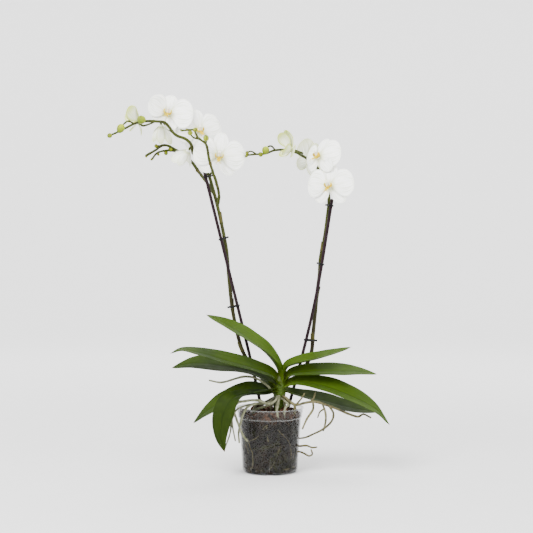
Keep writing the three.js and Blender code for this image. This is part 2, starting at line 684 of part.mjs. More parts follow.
// A bud is an egg that hangs on the end of its stalk, with a slight point.
function bud({ at, radius, stretch }, grow) {
  const egg = new THREE.SphereGeometry(radius + grow, radius > 5 ? 6 : 5, radius > 5 ? 4 : 3);
  return solidOf(egg.scale(1, 1, stretch).translate(...at));
}

// A swollen joint with its papery bract, round the stem at t.
function stemJoint(curve, t, radius, grow) {
  const from = curve.getPointAt(t - 0.006).toArray();
  const to = curve.getPointAt(t + 0.006).toArray();
  return stalk([from, to], [radius + 0.9, radius + 0.2], { sides: 5, steps: 1, grow });
}

function buildSpike({ stem, radii, branches, buds, nodes }, flowers, grow = 0) {
  const curve = new THREE.CatmullRomCurve3(stem.map(vector), false, "centripetal");
  return join([
    stalk(stem, radii, { sides: 5, steps: STEM_STEPS, grow }),
    ...nodes.map((t) => stemJoint(curve, t, along(radii, t), grow)),
    ...branches.map((branch) => buildBranch(branch, grow)),
    ...buds.map((one) => bud(one, grow)),
    ...flowers.map((name) => pedicel(name, stem, grow)),
  ]);
}

// ---------- stakes and clips ----------

function buildStake(path, grow = 0) {
  return stalk(path, [STAKE_RADIUS, STAKE_RADIUS], { sides: 7, steps: 4, grow });
}

const CLIP = { wall: 1.3, height: 3.2, grip: 6 };
const CLIPS = {
  clip_left_low: { spike: "spike_left", stake: "stake_left", height: 295 },
  clip_left_middle: { spike: "spike_left", stake: "stake_left", height: 418 },
  clip_left_top: { spike: "spike_left", stake: "stake_left", height: 530 },
  clip_right_low: { spike: "spike_right", stake: "stake_right", height: 233 },
  clip_right_middle: { spike: "spike_right", stake: "stake_right", height: 372 },
  clip_right_top: { spike: "spike_right", stake: "stake_right", height: 478 },
};

// The point of a path at a height.
function pointAtHeight(path, height) {
  const curve = new THREE.CatmullRomCurve3(path.map(vector), false, "centripetal");
  const points = curve.getSpacedPoints(600);
  return points.reduce((a, b) => (Math.abs(b.z - height) < Math.abs(a.z - height) ? b : a));
}

// A flat plastic band that goes round the stem and the stake together, with a grip that sticks out.
function buildClip({ spike, stake, height }, rods) {
  const stem = pointAtHeight(SPIKES[spike].stem, height);
  const rod = pointAtHeight(STAKES[stake], height);
  const spread = new THREE.Vector3(rod.x - stem.x, rod.y - stem.y, 0);
  const reach = spread.length() / 2;
  const round = STAKE_RADIUS + 0.5 + CLIP.wall;
  const outline = new THREE.Shape();
  outline.absarc(reach, 0, round, -Math.PI / 2, Math.PI / 2, false);
  outline.absarc(-reach, 0, round, Math.PI / 2, (3 * Math.PI) / 2, false);
  const band = new THREE.ExtrudeGeometry(outline, {
    depth: CLIP.height, bevelEnabled: false, curveSegments: 2,
  });
  const grip = new THREE.BoxGeometry(CLIP.grip, 1.4, CLIP.height);
  grip.translate(-reach - round - CLIP.grip / 2 + 1, 0, CLIP.height / 2);
  const axis = vector(STAKES[stake].at(-1)).sub(vector(STAKES[stake].at(-2))).normalize();
  const across = spread.addScaledVector(axis, -spread.dot(axis)).normalize();
  const matrix = new THREE.Matrix4()
    .makeBasis(across, new THREE.Vector3().crossVectors(axis, across), axis)
    .setPosition(stem.clone().add(rod).multiplyScalar(0.5).addScaledVector(axis, -CLIP.height / 2));
  return moved(join([solidOf(band), solidOf(grip)]), matrix).subtract(rods);
}

// ---------- roots ----------

// Aerial roots grow from a knobbly ring on the stem. Each has its path and its thickness.
const ROOT_RING = [128, 139];
const ROOTS = [
  // to the left, free in the air and over the rim
  {
    radius: 1.7,
    path: [
      [10, -2, 135], [-4, -11, 153], [-23, -17, 167], [-36, -20, 171], [-50, -22, 171],
      [-61, -22, 168], [-87, -20, 161], [-108, -16, 164],
    ],
  },
  {
    radius: 2,
    path: [
      [13, -8, 135], [10, -26, 130], [1, -34, 125], [-8, -38, 126], [-17, -44, 131],
      [-30, -50, 133], [-45, -56, 132], [-57, -62, 130], [-63, -66, 119], [-59, -65, 104],
      [-55, -62, 92], [-48, -60, 74], [-40, -61, 64],
    ],
  },
  {
    radius: 1.8,
    path: [
      [9, -4, 133], [-2, -18, 125], [-15, -30, 124], [-27, -44, 126], [-40, -54, 121],
      [-48, -60, 108], [-52, -60, 92], [-55, -56, 76], [-54, -54, 60],
    ],
  },
  {
    radius: 1.3,
    path: [
      [-27, -43, 126], [-44, -48, 123], [-58, -52, 117], [-66, -50, 104], [-66, -48, 88],
      [-61, -48, 62],
    ],
  },
  { radius: 1.1, path: [[-62, -52, 112], [-68, -46, 94], [-70, -44, 76], [-79, -42, 48]] },
  // in front of the stem, down into the bark
  {
    radius: 2.2,
    path: [
      [16, -6, 136], [16, -18, 132], [14, -28, 123], [12, -38, 115], [13, -44, 106], [13, -45, 88],
    ],
  },
  {
    radius: 1.8,
    path: [
      [10, -2, 131], [5, -14, 127], [0, -22, 122], [-12, -28, 118], [-26, -26, 113],
      [-34, -20, 98],
    ],
  },
  {
    radius: 2,
    path: [
      [22, -6, 136], [30, -18, 132], [36, -25, 127], [43, -28, 122], [44, -25, 110], [42, -22, 92],
    ],
  },
  {
    radius: 1.6,
    path: [
      [20, -8, 132], [27, -20, 127], [33, -28, 122], [27, -38, 118], [25, -43, 110], [25, -44, 90],
    ],
  },
  { radius: 1.5, path: [[8, 4, 132], [-10, 10, 122], [-24, 16, 116], [-36, 20, 96]] },
  // to the right, over the rim and hanging outside the pot
  {
    radius: 1.9,
    path: [
      [24, 0, 132], [36, -10, 124], [48, -20, 121], [60, -27, 125], [79, -31, 128],
      [101, -34, 122], [127, -35, 112], [144, -35, 105], [156, -34, 102], [165, -33, 106],
      [178, -31, 100],
    ],
  },
  { radius: 1.6, path: [[76, -31, 128], [76, -36, 116], [65, -40, 99], [57, -43, 82]] },
  { radius: 1.5, path: [[93, -33, 124], [98, -37, 108], [98, -38, 94], [94, -37, 78]] },
  {
    radius: 1.5,
    path: [
      [104, -34, 121], [112, -32, 108], [110, -26, 94], [96, -16, 78], [76, -6, 66], [64, -1, 60],
      [52, 0, 58], [46, 0, 58],
    ],
  },
  { radius: 1.2, path: [[72, -30, 128], [77, -30, 134], [80, -32, 144]] },
  { radius: 1.2, path: [[46, -19, 121], [55, -25, 132], [61, -28, 142]] },
  { radius: 1.1, path: [[96, -35, 116], [88, -38, 111], [84, -38, 101]] },
];
const SIDE_ROOTS = {
  root_side_upper: {
    radius: 1.7,
    path: [[42, 1, 44], [54, 1, 44], [66, 0, 45], [76, -3, 42], [84, -4, 43]],
  },
  root_side_lower: {
    radius: 1.6,
    path: [[42, -1, 35], [54, -1, 34], [62, -2, 31], [70, -3, 27], [76, -3, 30], [74, -3, 38]],
  },
};

const rootStrand = ({ path, radius }, grow = 0) =>
  stalk(path, [radius, radius, radius * 0.8], { sides: 4, steps: Math.ceil(0.8 * path.length), grow });

function buildRoots(grow = 0) {
  const [low, high] = ROOT_RING;
  const middle = (low + high) / 2;
  const centre = pointAtHeight(STEM.path, middle);
  const profile = [
    [0, low - grow],
    [11 + grow, low - grow],
    [13 + grow, middle],
    [12.4 + grow, high + grow],
    [0, high + grow],
  ];
  const ring = lathe(profile, 8).translate([centre.x, centre.y, 0]);
  return join([ring, ...ROOTS.map((strand) => rootStrand(strand, grow))]);
}

const buildStem = (grow = 0) => stalk(STEM.path, STEM.radii, { sides: 10, steps: 8, grow });

// ---------- assembly ----------

const plant = new THREE.Group();
const place = (name, solid, material) => plant.add(meshOf(name, solid, material));
const flowersOf = (side) => Object.keys(FLOWERS).filter((name) => name.includes(side));

// What other pieces are cut clear of, each grown by the gap.
const grownStem = buildStem(GAP);
const grownSpikes = [
  buildSpike(SPIKES.spike_left, flowersOf("_left_"), GAP),
  buildSpike(SPIKES.spike_right, flowersOf("_right_"), GAP),
];
const grownStakes = join(Object.values(STAKES).map((stake) => buildStake(stake, GAP)));
const grownSideRoots = Object.values(SIDE_ROOTS).map((strand) => rootStrand(strand, GAP));
const grownRoots = join([buildRoots(GAP), ...grownSideRoots]);
const rods = join([...grownSpikes, grownStakes]);

place("pot", buildPot(), CLEAR_PLASTIC);
place("bark", buildBark([grownStem, grownStakes, grownRoots]), BARK_BROWN);
place("stem", buildStem(), LEAF_GREEN);

// Leaves are cut back from the stem, from what passes them and from the leaf before.
let taken = join([grownStem, rods, grownRoots]);
for (const [name, leaf] of Object.entries(LEAVES)) {
  place(name, largestBody(buildLeaf(leaf).subtract(taken)), LEAF_GREEN);
  taken = taken.add(buildLeaf(leaf, LEAF_CLEARANCE));
}

place("roots", largestBody(buildRoots().subtract(join([grownStem, rods]))), ROOT_SILVER);
for (const [name, strand] of Object.entries(SIDE_ROOTS)) {
  place(name, rootStrand(strand), ROOT_SILVER);
}

for (const side of ["left", "right"]) {
  const spike = buildSpike(SPIKES[`spike_${side}`], flowersOf(`_${side}_`));
  place(`spike_${side}`, largestBody(spike.subtract(grownStem)), STEM_GREEN);
}
for (const [name, path] of Object.entries(STAKES)) {
  place(name, buildStake(path), STAKE_PURPLE);
}
for (const [name, clip] of Object.entries(CLIPS)) {
  place(name, largestBody(buildClip(clip, rods)), CLIP_BLACK);
}

const lip = buildLip();
for (const [name, flower] of Object.entries(FLOWERS)) {
  const matrix = flowerMatrix(flower);
  const tepals = moved(buildTepals(flower.pose), matrix);
  place(`${name}_petals`, largestBody(tepals.subtract(rods)), PETAL_WHITE);
  const lipMatrix = matrix.clone().scale(vector(flower.pose.lip));
  place(`${name}_lip`, moved(lip, lipMatrix), LIP_YELLOW);
}

export default plant;
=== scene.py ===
# %% [markdown]
# # A white moth orchid in a clear nursery pot
#
# A moth orchid sold in a shop stands in a clear plastic pot of bark. Two ranks of strap leaves grow
# from a short stem, silvery roots wander over the rim, and two flower spikes arch up, each clipped to
# a thin stake. The solids for size and weight are already packed. This lesson dresses them: it builds
# finer pieces over the same lines and gives each its finish.
#
# The first cell loads the solids as a fixed frame and keeps their box, so that the dressed plant can
# be compared with it at the end.

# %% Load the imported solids
import math

import bpy
import numpy as np
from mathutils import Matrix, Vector


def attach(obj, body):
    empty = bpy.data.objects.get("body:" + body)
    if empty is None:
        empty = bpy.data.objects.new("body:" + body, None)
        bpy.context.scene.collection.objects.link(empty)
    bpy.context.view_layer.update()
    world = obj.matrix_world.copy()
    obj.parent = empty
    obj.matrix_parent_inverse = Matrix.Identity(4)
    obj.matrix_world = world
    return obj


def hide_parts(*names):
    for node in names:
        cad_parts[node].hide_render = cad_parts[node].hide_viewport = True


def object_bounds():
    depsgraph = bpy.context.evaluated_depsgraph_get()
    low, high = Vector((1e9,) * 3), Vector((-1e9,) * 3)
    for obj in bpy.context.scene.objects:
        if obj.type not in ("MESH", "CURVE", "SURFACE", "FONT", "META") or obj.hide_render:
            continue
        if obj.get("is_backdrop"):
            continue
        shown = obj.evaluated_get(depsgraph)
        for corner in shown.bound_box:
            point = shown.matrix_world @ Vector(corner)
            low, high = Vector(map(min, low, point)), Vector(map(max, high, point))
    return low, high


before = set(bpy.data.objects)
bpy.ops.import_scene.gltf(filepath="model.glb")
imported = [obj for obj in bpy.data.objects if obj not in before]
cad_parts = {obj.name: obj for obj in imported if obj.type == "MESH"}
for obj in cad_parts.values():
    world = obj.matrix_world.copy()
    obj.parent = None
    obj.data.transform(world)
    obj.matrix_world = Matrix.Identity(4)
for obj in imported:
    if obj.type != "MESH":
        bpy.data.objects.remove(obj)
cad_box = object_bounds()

print("solids loaded:", len(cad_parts))

# %% [markdown]
# ## Where things are
#
# Every length of the plant is in millimetres, measured from the middle of the pot's underside: x to the
# right, y away from the viewer and z up. A path is a short list of points that a smooth curve goes
# through, which is how a florist would describe a stem: it leaves here, bends there, ends there.

# %% Pot, stem and stakes
POT = {
    "height": 115, "base": 49.5, "corner": 4, "foot": 46, "ledge": 96, "wall_at_ledge": 56,
    "band": 57.6, "rim": 60, "wall": 1.2,
}
SLOT = {"width": 8, "low": 25, "high": 64}
NOTCH = {"width": 12, "height": 7, "count": 4}
STEM = {
    "path": [[16, 2, 70], [16, 1, 112], [17, 0, 140], [18, 0, 156], [21, 0, 176]],
    "radii": [6.5, 8, 10.5, 11, 5],
}
STAKE_RADIUS = 2.7

STAKES = {
    "stake_left": [[3, 44, 14], [-28, 33, 165], [-64, 20, 316], [-121, 2, 549]],
    "stake_right": [[6, 34, 14], [50, 25, 171], [84, 15, 316], [112, 5.4, 487]],
}
print("pot rim:", 2 * POT["rim"], "mm across, stakes:", len(STAKES))

# %% The lines of the leaves
LEAVES = {
    "leaf_upper_left": {
        "spine": [
            [20, 0, 160], [18, -5, 184], [-2, -12, 214], [-39, -16, 242], [-78, -14, 265],
            [-114, -10, 281],
        ],
        "across": [[0, 1, 0.3], [0, 1, 0.34], [0, 1, 0.38]], "half_width": 30, "channel": [0.7, 0.12],
    },
    "leaf_left_front": {
        "spine": [
            [20, 0, 155], [5, -14, 174], [-26, -30, 188], [-71, -44, 202], [-118, -50, 215],
            [-157, -50, 222], [-175, -50, 215],
        ],
        "across": [[0, 1, 0.6], [0, 1, 0.32], [0, 1, 0.22], [0, 1, 0.14]],
        "half_width": 30, "channel": [0.6, 0.1],
    },
    "leaf_left_back": {
        "spine": [
            [16, 1, 150], [-2, 0, 163], [-44, -3, 183], [-93, -4, 191], [-137, -3, 194], [-177, 0, 185],
        ],
        "across": [[0, 1, 0.3], [0, 1, 0.4], [0, 1, 0.4]], "half_width": 31, "channel": [0.6, 0.1],
    },
    "leaf_lower_left": {
        "spine": [
            [18, 0, 152], [-6, -8, 149], [-39, -22, 149], [-79, -36, 133], [-112, -43, 112],
            [-135, -44, 92],
        ],
        "across": [[0, 1, 0.3], [0, 1, 0.42], [0, 1, 0.45]], "half_width": 27, "channel": [0.5, 0.1],
    },
    "leaf_front_hanging": {
        "spine": [
            [17, -2, 146], [-6, -20, 143], [-39, -52, 146], [-67, -70, 138], [-82, -75, 108],
            [-85, -72, 73], [-79, -70, 46],
        ],
        "across": [[-0.3, 1, 0.2], [-0.6, 0.8, 0.1], [-0.95, 0.3, 0], [-0.97, 0.25, 0]],
        "half_width": 20, "channel": [0.5, 0.15],
    },
    "leaf_upper_right": {
        "spine": [[20, 2, 166], [29, 2, 188], [46, -2, 196], [84, -2, 205], [118, 2, 214], [146, 6, 222]],
        "across": [[0, 1, 0.4], [0, 1, 0.24], [0, 1, 0.2]], "half_width": 21, "channel": [0.7, 0.15],
    },
    "leaf_right_middle": {
        "spine": [
            [22, 0, 160], [38, -4, 175], [68, -9, 180], [119, -10, 181], [163, -7, 179], [192, -4, 174],
        ],
        "across": [[0, 1, 0.5], [0, 1, 0.34], [0, 1, 0.28]], "half_width": 27, "channel": [0.6, 0.1],
    },
    "leaf_right_front": {
        "spine": [
            [22, -2, 152], [47, -14, 162], [92, -30, 158], [142, -40, 141], [185, -42, 117],
            [211, -38, 88],
        ],
        "across": [[0, 1, 0.4], [0, 1, 0.4], [0, 1, 0.4]], "half_width": 31, "channel": [0.5, 0.1],
    },
    "leaf_lower_right": {
        "spine": [[20, 0, 148], [48, 2, 139], [96, 6, 127], [143, 10, 113], [193, 12, 103]],
        "across": [[0, 1, 0.3], [0, 1, 0.36], [0, 1, 0.3]], "half_width": 26, "channel": [0.5, 0.1],
    },
}
print("leaves to make:", len(LEAVES))

# %% Where the flowers and their stalks are
# turn: to the viewer's right (+), tip: up (+), roll: about its own axis, in degrees
FLOWERS = {
    "flower_left_1": {
        "at": [-185, 8, 644], "turn": 4, "tip": 12, "roll": -14, "size": 0.98, "pose": "DISHED",
    },
    "flower_left_2": {
        "at": [-128, 17, 614], "turn": 18, "tip": 4, "roll": 9, "size": 0.93, "pose": "OPEN",
    },
    "flower_left_3": {
        "at": [-91, -15, 564], "turn": 4, "tip": 0, "roll": -8, "size": 1, "pose": "OPEN",
    },
    "flower_left_4": {
        "at": [-198, 20, 622], "turn": 180, "tip": -62, "roll": 180, "size": 0.8, "pose": "NODDING",
    },
    "flower_left_5": {
        "at": [-149, 18, 577], "turn": -135, "tip": -39, "roll": 0, "size": 0.78, "pose": "CUPPED",
    },
    "flower_left_6": {
        "at": [-242, 26, 632], "turn": -80, "tip": 38, "roll": 0, "size": 0.82, "pose": "HALF_OPEN",
    },
    "flower_right_1": {
        "at": [87, -14, 564.5], "turn": -42, "tip": 12, "roll": 2, "size": 0.92, "pose": "REFLEXED",
    },
    "flower_right_2": {
        "at": [105, -32, 510], "turn": -25, "tip": 4, "roll": 0, "size": 0.95, "pose": "OPEN",
    },
    "flower_right_3": {
        "at": [72, 66, 564], "turn": -138, "tip": 0, "roll": -106, "size": 0.9, "pose": "TURNED_AWAY",
    },
    "flower_right_4": {
        "at": [37, -6, 578], "turn": -50, "tip": 8, "roll": 0, "size": 0.88, "pose": "OPENING",
    },
}

PEDICELS = {
    "flower_left_1": {"from": [-188, -8, 625], "by": [[-184, 6, 624]]},
    "flower_left_2": {"from": [-135, 1, 571], "by": [[-126, 18, 588]]},
    "flower_left_3": {"from": [-111, 13, 531], "by": [[-102, 10, 544]]},
    "flower_left_4": {"from": [-172, -6, 604], "by": [[-182, 2, 614]]},
    "flower_left_5": {"from": [-132, 4, 558], "by": [[-140, -2, 572]]},
    "flower_left_6": {"from": [-212, -12, 627], "by": [[-206, 4, 630]]},
    "flower_right_1": {"from": [91, 9, 538], "by": [[100, 12, 550]]},
    "flower_right_2": {"from": [102, 15, 514], "by": [[114, 4, 507]]},
    "flower_right_3": {"from": [76, 14, 558], "by": [[80, 34, 562]]},
    "flower_right_4": {"from": [56, 27, 571], "by": [[58, 10, 573]]},
}
print("flowers to make:", len(FLOWERS))

# %% The lines of the flower spikes
SPIKES = {
    "spike_left": {
        "stem": [
            [15, 6, 148], [0, 24, 154], [-20, 37, 168], [-37, 41, 190], [-50, 38, 212],
            [-67, 31, 280], [-75, 27, 349],
            [-79, 24, 396], [-84, 20, 425], [-93, 18, 467], [-103, 17, 506], [-113, 13, 537],
            [-128, 8, 556],
            [-138, 4, 572], [-142, -1, 587], [-151, -4, 596], [-170, -6, 604], [-188, -8, 625],
            [-202, -11, 627],
            [-222, -14, 627], [-240, -17, 623], [-257, -20, 614], [-270, -22, 607], [-283, -24, 601],
        ],
        "radii": [3.5, 3.4, 3.2, 3.1, 2.8, 2.5, 1.5],
        "branches": [
            {
                "radii": [2.5, 2.3, 1.7],
                "path": [
                    [-102, 17, 500], [-115, 32, 520], [-131, 50, 542], [-147, 63, 564], [-160, 67, 577],
                    [-173, 66, 583], [-190, 62, 592], [-200, 60, 592], [-211, 58, 584], [-229, 55, 573],
                ],
            },
            {
                "radii": [1.6, 1.3],
                "path": [[-170, 66, 581], [-190, 61, 583], [-209, 58, 578], [-218, 56, 567]],
            },
            {"radii": [1, 0.9], "path": [[-198, 60, 592], [-211, 58, 591]]},
            {
                "radii": [2.2, 2, 1.6],
                "path": [
                    [-95, 18, 478], [-92, 4, 496], [-96, -14, 518], [-102, -26, 536], [-108, -33, 558],
                    [-113, -37, 583], [-121, -37, 590], [-129, -37, 595],
                ],
            },
            {
                "radii": [1.3, 0.9],
                "path": [
                    [-127, -37, 594], [-132, -38, 604], [-134, -38, 608], [-156, -38, 607],
                ],
            },
            {"radii": [1, 0.9], "path": [[-124, -37, 592], [-135, -38, 595], [-140, -39, 600]]},
            {"radii": [1.2, 1.1], "path": [[-113, -37, 581], [-113, -37, 590]]},
            {"radii": [1.2, 1.1], "path": [[-226, -14, 627], [-224, -24, 630], [-227, -30, 628]]},
            {"radii": [1.1, 1], "path": [[-243, -17, 622], [-252, -23, 626], [-262, -28, 618]]},
        ],
        "buds": [
            {"at": [-228, -32, 627], "radius": 7.6, "stretch": 1.08},
            {"at": [-265, -28, 612], "radius": 6.9, "stretch": 1.2},
            {"at": [-285, -25, 600], "radius": 4.4, "stretch": 1},
            {"at": [-113, -37, 594], "radius": 5.2, "stretch": 1.05},
            {"at": [-141, -39, 603], "radius": 4.5, "stretch": 1},
            {"at": [-132, -38, 608.6], "radius": 4, "stretch": 1},
            {"at": [-147, -38, 609], "radius": 2.2, "stretch": 1},
            {"at": [-157, -38, 608], "radius": 2, "stretch": 1},
            {"at": [-185, 64, 585], "radius": 4.4, "stretch": 1},
            {"at": [-193, 61, 578], "radius": 3.8, "stretch": 1},
            {"at": [-211, 58, 591], "radius": 3.6, "stretch": 1},
            {"at": [-229, 55, 572], "radius": 2.4, "stretch": 1.2},
            {"at": [-207, 58, 575], "radius": 2.4, "stretch": 1},
            {"at": [-219, 56, 566], "radius": 2.2, "stretch": 1.2},
        ],
        "nodes": [0.16, 0.28, 0.4, 0.52],
    },
    "spike_right": {
        "stem": [
            [22, 6, 148], [34, 25, 153], [53, 37, 167], [68, 38, 189], [76, 36, 210], [79, 32, 245],
            [83, 28, 286], [86, 26, 319],
            [90, 23, 352], [92, 19, 383], [99, 17, 419], [104, 16, 456], [107, 17, 484],
            [106, 17, 501], [98, 14, 521],
            [90, 10, 539], [80, 14, 554], [70, 26, 563], [61, 31, 569], [50, 30, 575], [30, 26, 580],
            [8, 14, 578], [-8, 4, 571], [-24, -4, 569], [-41, -8, 567],
        ],
        "radii": [3.5, 3.4, 3.3, 3.2, 2.8, 2.2, 1.4],
        "branches": [
            {"path": [[10, 15, 578], [2, 6, 585], [-7, -2, 581]], "radii": [1.1, 1]},
            {"path": [[-24, -4, 569], [-34, -6, 574], [-41, -8, 572]], "radii": [0.9, 0.8]},
            {"path": [[-10, 0, 571], [-16, -2, 568]], "radii": [1, 1]},
        ],
        "buds": [
            {"at": [-8, -4, 576], "radius": 6.6, "stretch": 1.12},
            {"at": [-17, -3, 569], "radius": 4.2, "stretch": 1.1},
            {"at": [-41, -8, 571], "radius": 3.2, "stretch": 1.1},
            {"at": [-42.5, -8, 565.5], "radius": 2.8, "stretch": 1.1},
        ],
        "nodes": [0.2, 0.34, 0.48],
    },
}
print("buds to make:", sum(len(spike["buds"]) for spike in SPIKES.values()))

# %% The lines of the roots
ROOTS = [
    # to the left, free in the air and over the rim
    {
        "radius": 1.7,
        "path": [
            [10, -2, 135], [-4, -11, 153], [-23, -17, 167], [-36, -20, 171], [-50, -22, 171],
            [-61, -22, 168], [-87, -20, 161], [-108, -16, 164],
        ],
    },
    {
        "radius": 2,
        "path": [
            [13, -8, 135], [10, -26, 130], [1, -34, 125], [-8, -38, 126], [-17, -44, 131],
            [-30, -50, 133], [-45, -56, 132], [-57, -62, 130], [-63, -66, 119], [-59, -65, 104],
            [-55, -62, 92], [-48, -60, 74], [-40, -61, 64],
        ],
    },
    {
        "radius": 1.8,
        "path": [
            [9, -4, 133], [-2, -18, 125], [-15, -30, 124], [-27, -44, 126], [-40, -54, 121],
            [-48, -60, 108], [-52, -60, 92], [-55, -56, 76], [-54, -54, 60],
        ],
    },
    {
        "radius": 1.3,
        "path": [
            [-27, -43, 126], [-44, -48, 123], [-58, -52, 117], [-66, -50, 104], [-66, -48, 88],
            [-61, -48, 62],
        ],
    },
    {"radius": 1.1, "path": [[-62, -52, 112], [-68, -46, 94], [-70, -44, 76], [-79, -42, 48]]},
    # in front of the stem, down into the bark
    {
        "radius": 2.2,
        "path": [
            [16, -6, 136], [16, -18, 132], [14, -28, 123], [12, -38, 115], [13, -44, 106], [13, -45, 88],
        ],
    },
    {
        "radius": 1.8,
        "path": [
            [10, -2, 131], [5, -14, 127], [0, -22, 122], [-12, -28, 118], [-26, -26, 113],
            [-34, -20, 98],
        ],
    },
    {
        "radius": 2,
        "path": [
            [22, -6, 136], [30, -18, 132], [36, -25, 127], [43, -28, 122], [44, -25, 110], [42, -22, 92],
        ],
    },
    {
        "radius": 1.6,
        "path": [
            [20, -8, 132], [27, -20, 127], [33, -28, 122], [27, -38, 118], [25, -43, 110], [25, -44, 90],
        ],
    },
    {"radius": 1.5, "path": [[8, 4, 132], [-10, 10, 122], [-24, 16, 116], [-36, 20, 96]]},
    # to the right, over the rim and hanging outside the pot
    {
        "radius": 1.9,
        "path": [
            [24, 0, 132], [36, -10, 124], [48, -20, 121], [60, -27, 125], [79, -31, 128],
            [101, -34, 122], [127, -35, 112], [144, -35, 105], [156, -34, 102], [165, -33, 106],
            [178, -31, 100],
        ],
    },
    {"radius": 1.6, "path": [[76, -31, 128], [76, -36, 116], [65, -40, 99], [57, -43, 82]]},
    {"radius": 1.5, "path": [[93, -33, 124], [98, -37, 108], [98, -38, 94], [94, -37, 78]]},
    {
        "radius": 1.5,
        "path": [
            [104, -34, 121], [112, -32, 108], [110, -26, 94], [96, -16, 78], [76, -6, 66], [64, -1, 60],
            [52, 0, 58], [46, 0, 58],
        ],
    },
    {"radius": 1.2, "path": [[72, -30, 128], [77, -30, 134], [80, -32, 144]]},
    {"radius": 1.2, "path": [[46, -19, 121], [55, -25, 132], [61, -28, 142]]},
    {"radius": 1.1, "path": [[96, -35, 116], [88, -38, 111], [84, -38, 101]]},
]

SIDE_ROOTS = {
    "root_side_upper": {
        "radius": 1.7,
        "path": [[42, 1, 44], [54, 1, 44], [66, 0, 45], [76, -3, 42], [84, -4, 43]],
    },
    "root_side_lower": {
        "radius": 1.6,
        "path": [[42, -1, 35], [54, -1, 34], [62, -2, 31], [70, -3, 27], [76, -3, 30], [74, -3, 38]],
    },
}
print("roots to make:", len(ROOTS) + len(SIDE_ROOTS))

# %% [markdown]
# ## Lines and solids
#
# Stems, roots, pedicels and stakes are all round rods that follow a line, so they share one helper
# that sweeps a ring along a smooth curve. A curve object with a bevel would do it too, but a mesh made
# point by point can carry extra numbers for its finish: how far along it a point lies, how far across,
# and a tone that tells one leaf or flower from the next, which for some of them is also painted shade.
# Leaves and petals share a second helper, a thin blade over a grid, with both faces and a rounded edge.

# %% A smooth line through points
def curve_at(points, places):
    """Points and directions on the smooth curve through points, at places from 0 (start) to 1 (end)."""
    p = np.array(points, float)
    p = np.vstack([2 * p[0] - p[1], p, 2 * p[-1] - p[-2]])
    dense = []
    for a, b, c, d in zip(p, p[1:], p[2:], p[3:]):
        knots = np.cumsum([0] + [math.sqrt(np.linalg.norm(y - x)) for x, y in ((a, b), (b, c), (c, d))])
        t = np.linspace(knots[1], knots[2], 25)[:, None]
        between = lambda x, y, low, high: x + (y - x) * (t - low) / (high - low)
        pairs = ((a, b), (b, c), (c, d))
        ab, bc, cd = (between(x, y, knots[i], knots[i + 1]) for i, (x, y) in enumerate(pairs))
        abc, bcd = between(ab, bc, knots[0], knots[2]), between(bc, cd, knots[1], knots[3])
        dense.append(between(abc, bcd, knots[1], knots[2])[:-1])
    dense = np.vstack(dense + [p[-2:-1]])
    reach = np.concatenate([[0], np.cumsum(np.linalg.norm(np.diff(dense, axis=0), axis=1))])
    wanted = np.asarray(places, float) * reach[-1]
    at = np.stack([np.interp(wanted, reach, dense[:, i]) for i in range(3)], -1)
    step = reach[-1] * 1e-3
    ahead = np.stack([np.interp(wanted + step, reach, dense[:, i]) for i in range(3)], -1)
    behind = np.stack([np.interp(wanted - step, reach, dense[:, i]) for i in range(3)], -1)
    return at, unit(ahead - behind)


def unit(vectors):
    """The same directions with length one."""
    return vectors / np.maximum(np.linalg.norm(vectors, axis=-1, keepdims=True), 1e-12)


def length_of(points):
    """How long the smooth curve through points is."""
    at, _ = curve_at(points, np.linspace(0, 1, 60))
    return float(np.linalg.norm(np.diff(at, axis=0), axis=1).sum())


print("left spike's stem:", round(length_of(SPIKES["spike_left"]["stem"])), "mm long")

# %% A mesh in the making
class Shape:
    """Points, faces and marks (along, across, tone) that are gathered and then made into one piece."""

    def __init__(self):
        self.points, self.marks, self.faces, self.count = [], [], [], 0

    def add(self, points, marks, faces):
        self.points.append(points)
        self.marks.append(marks)
        self.faces.extend([[int(i) + self.count for i in face] for face in faces])
        self.count += len(points)

    def piece(self, name, finish, slot, replaced=()):
        """Makes the mesh in metres, smooth, with its finish, riding on the plant."""
        mesh = bpy.data.meshes.new(name)
        mesh.from_pydata((np.vstack(self.points) * 0.001).tolist(), [], self.faces)
        mark = mesh.attributes.new("mark", "FLOAT_VECTOR", "POINT")
        mark.data.foreach_set("vector", np.vstack(self.marks).astype(np.float32).ravel())
        mesh.materials.append(finish)
        mesh.shade_smooth()
        made = bpy.data.objects.new(name, mesh)
        bpy.context.scene.collection.objects.link(made)
        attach(made, "root")
        if replaced:
            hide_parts(*replaced)
        return made


def grid_faces(rows, columns, ring=False):
    """Quads over rows x columns points. In a ring, the last column joins the first."""
    i, j = np.meshgrid(np.arange(rows - 1), np.arange(columns if ring else columns - 1), indexing="ij")
    k = (j + 1) % columns
    corners = [i * columns + j, i * columns + k, (i + 1) * columns + k, (i + 1) * columns + j]
    return np.stack(corners, -1).reshape(-1, 4).tolist()


print("a grid of 3 x 3 points has", len(grid_faces(3, 3)), "faces")


# %% A rod along a line
def frames_along(directions):
    """Two sideways directions at each point of a line, which turn as little as they can."""
    first = unit(np.cross(directions[0], [0.13, 0.97, 0.21]))
    sides = [first]
    for direction in directions[1:]:
        sides.append(unit(sides[-1] - direction * np.dot(sides[-1], direction)))
    sides = np.array(sides)
    return sides, np.cross(directions, sides)


def ripple(places, seed, waves=(3, 7, 13, 23)):
    """A repeatable uneven line between about -1 and 1."""
    draw = np.random.default_rng(seed)
    total = 0
    for i, wave in enumerate(waves):
        total = total + np.sin(2 * np.pi * (wave * places + draw.random())) / (1 + 0.3 * i)
    return total / 2.2


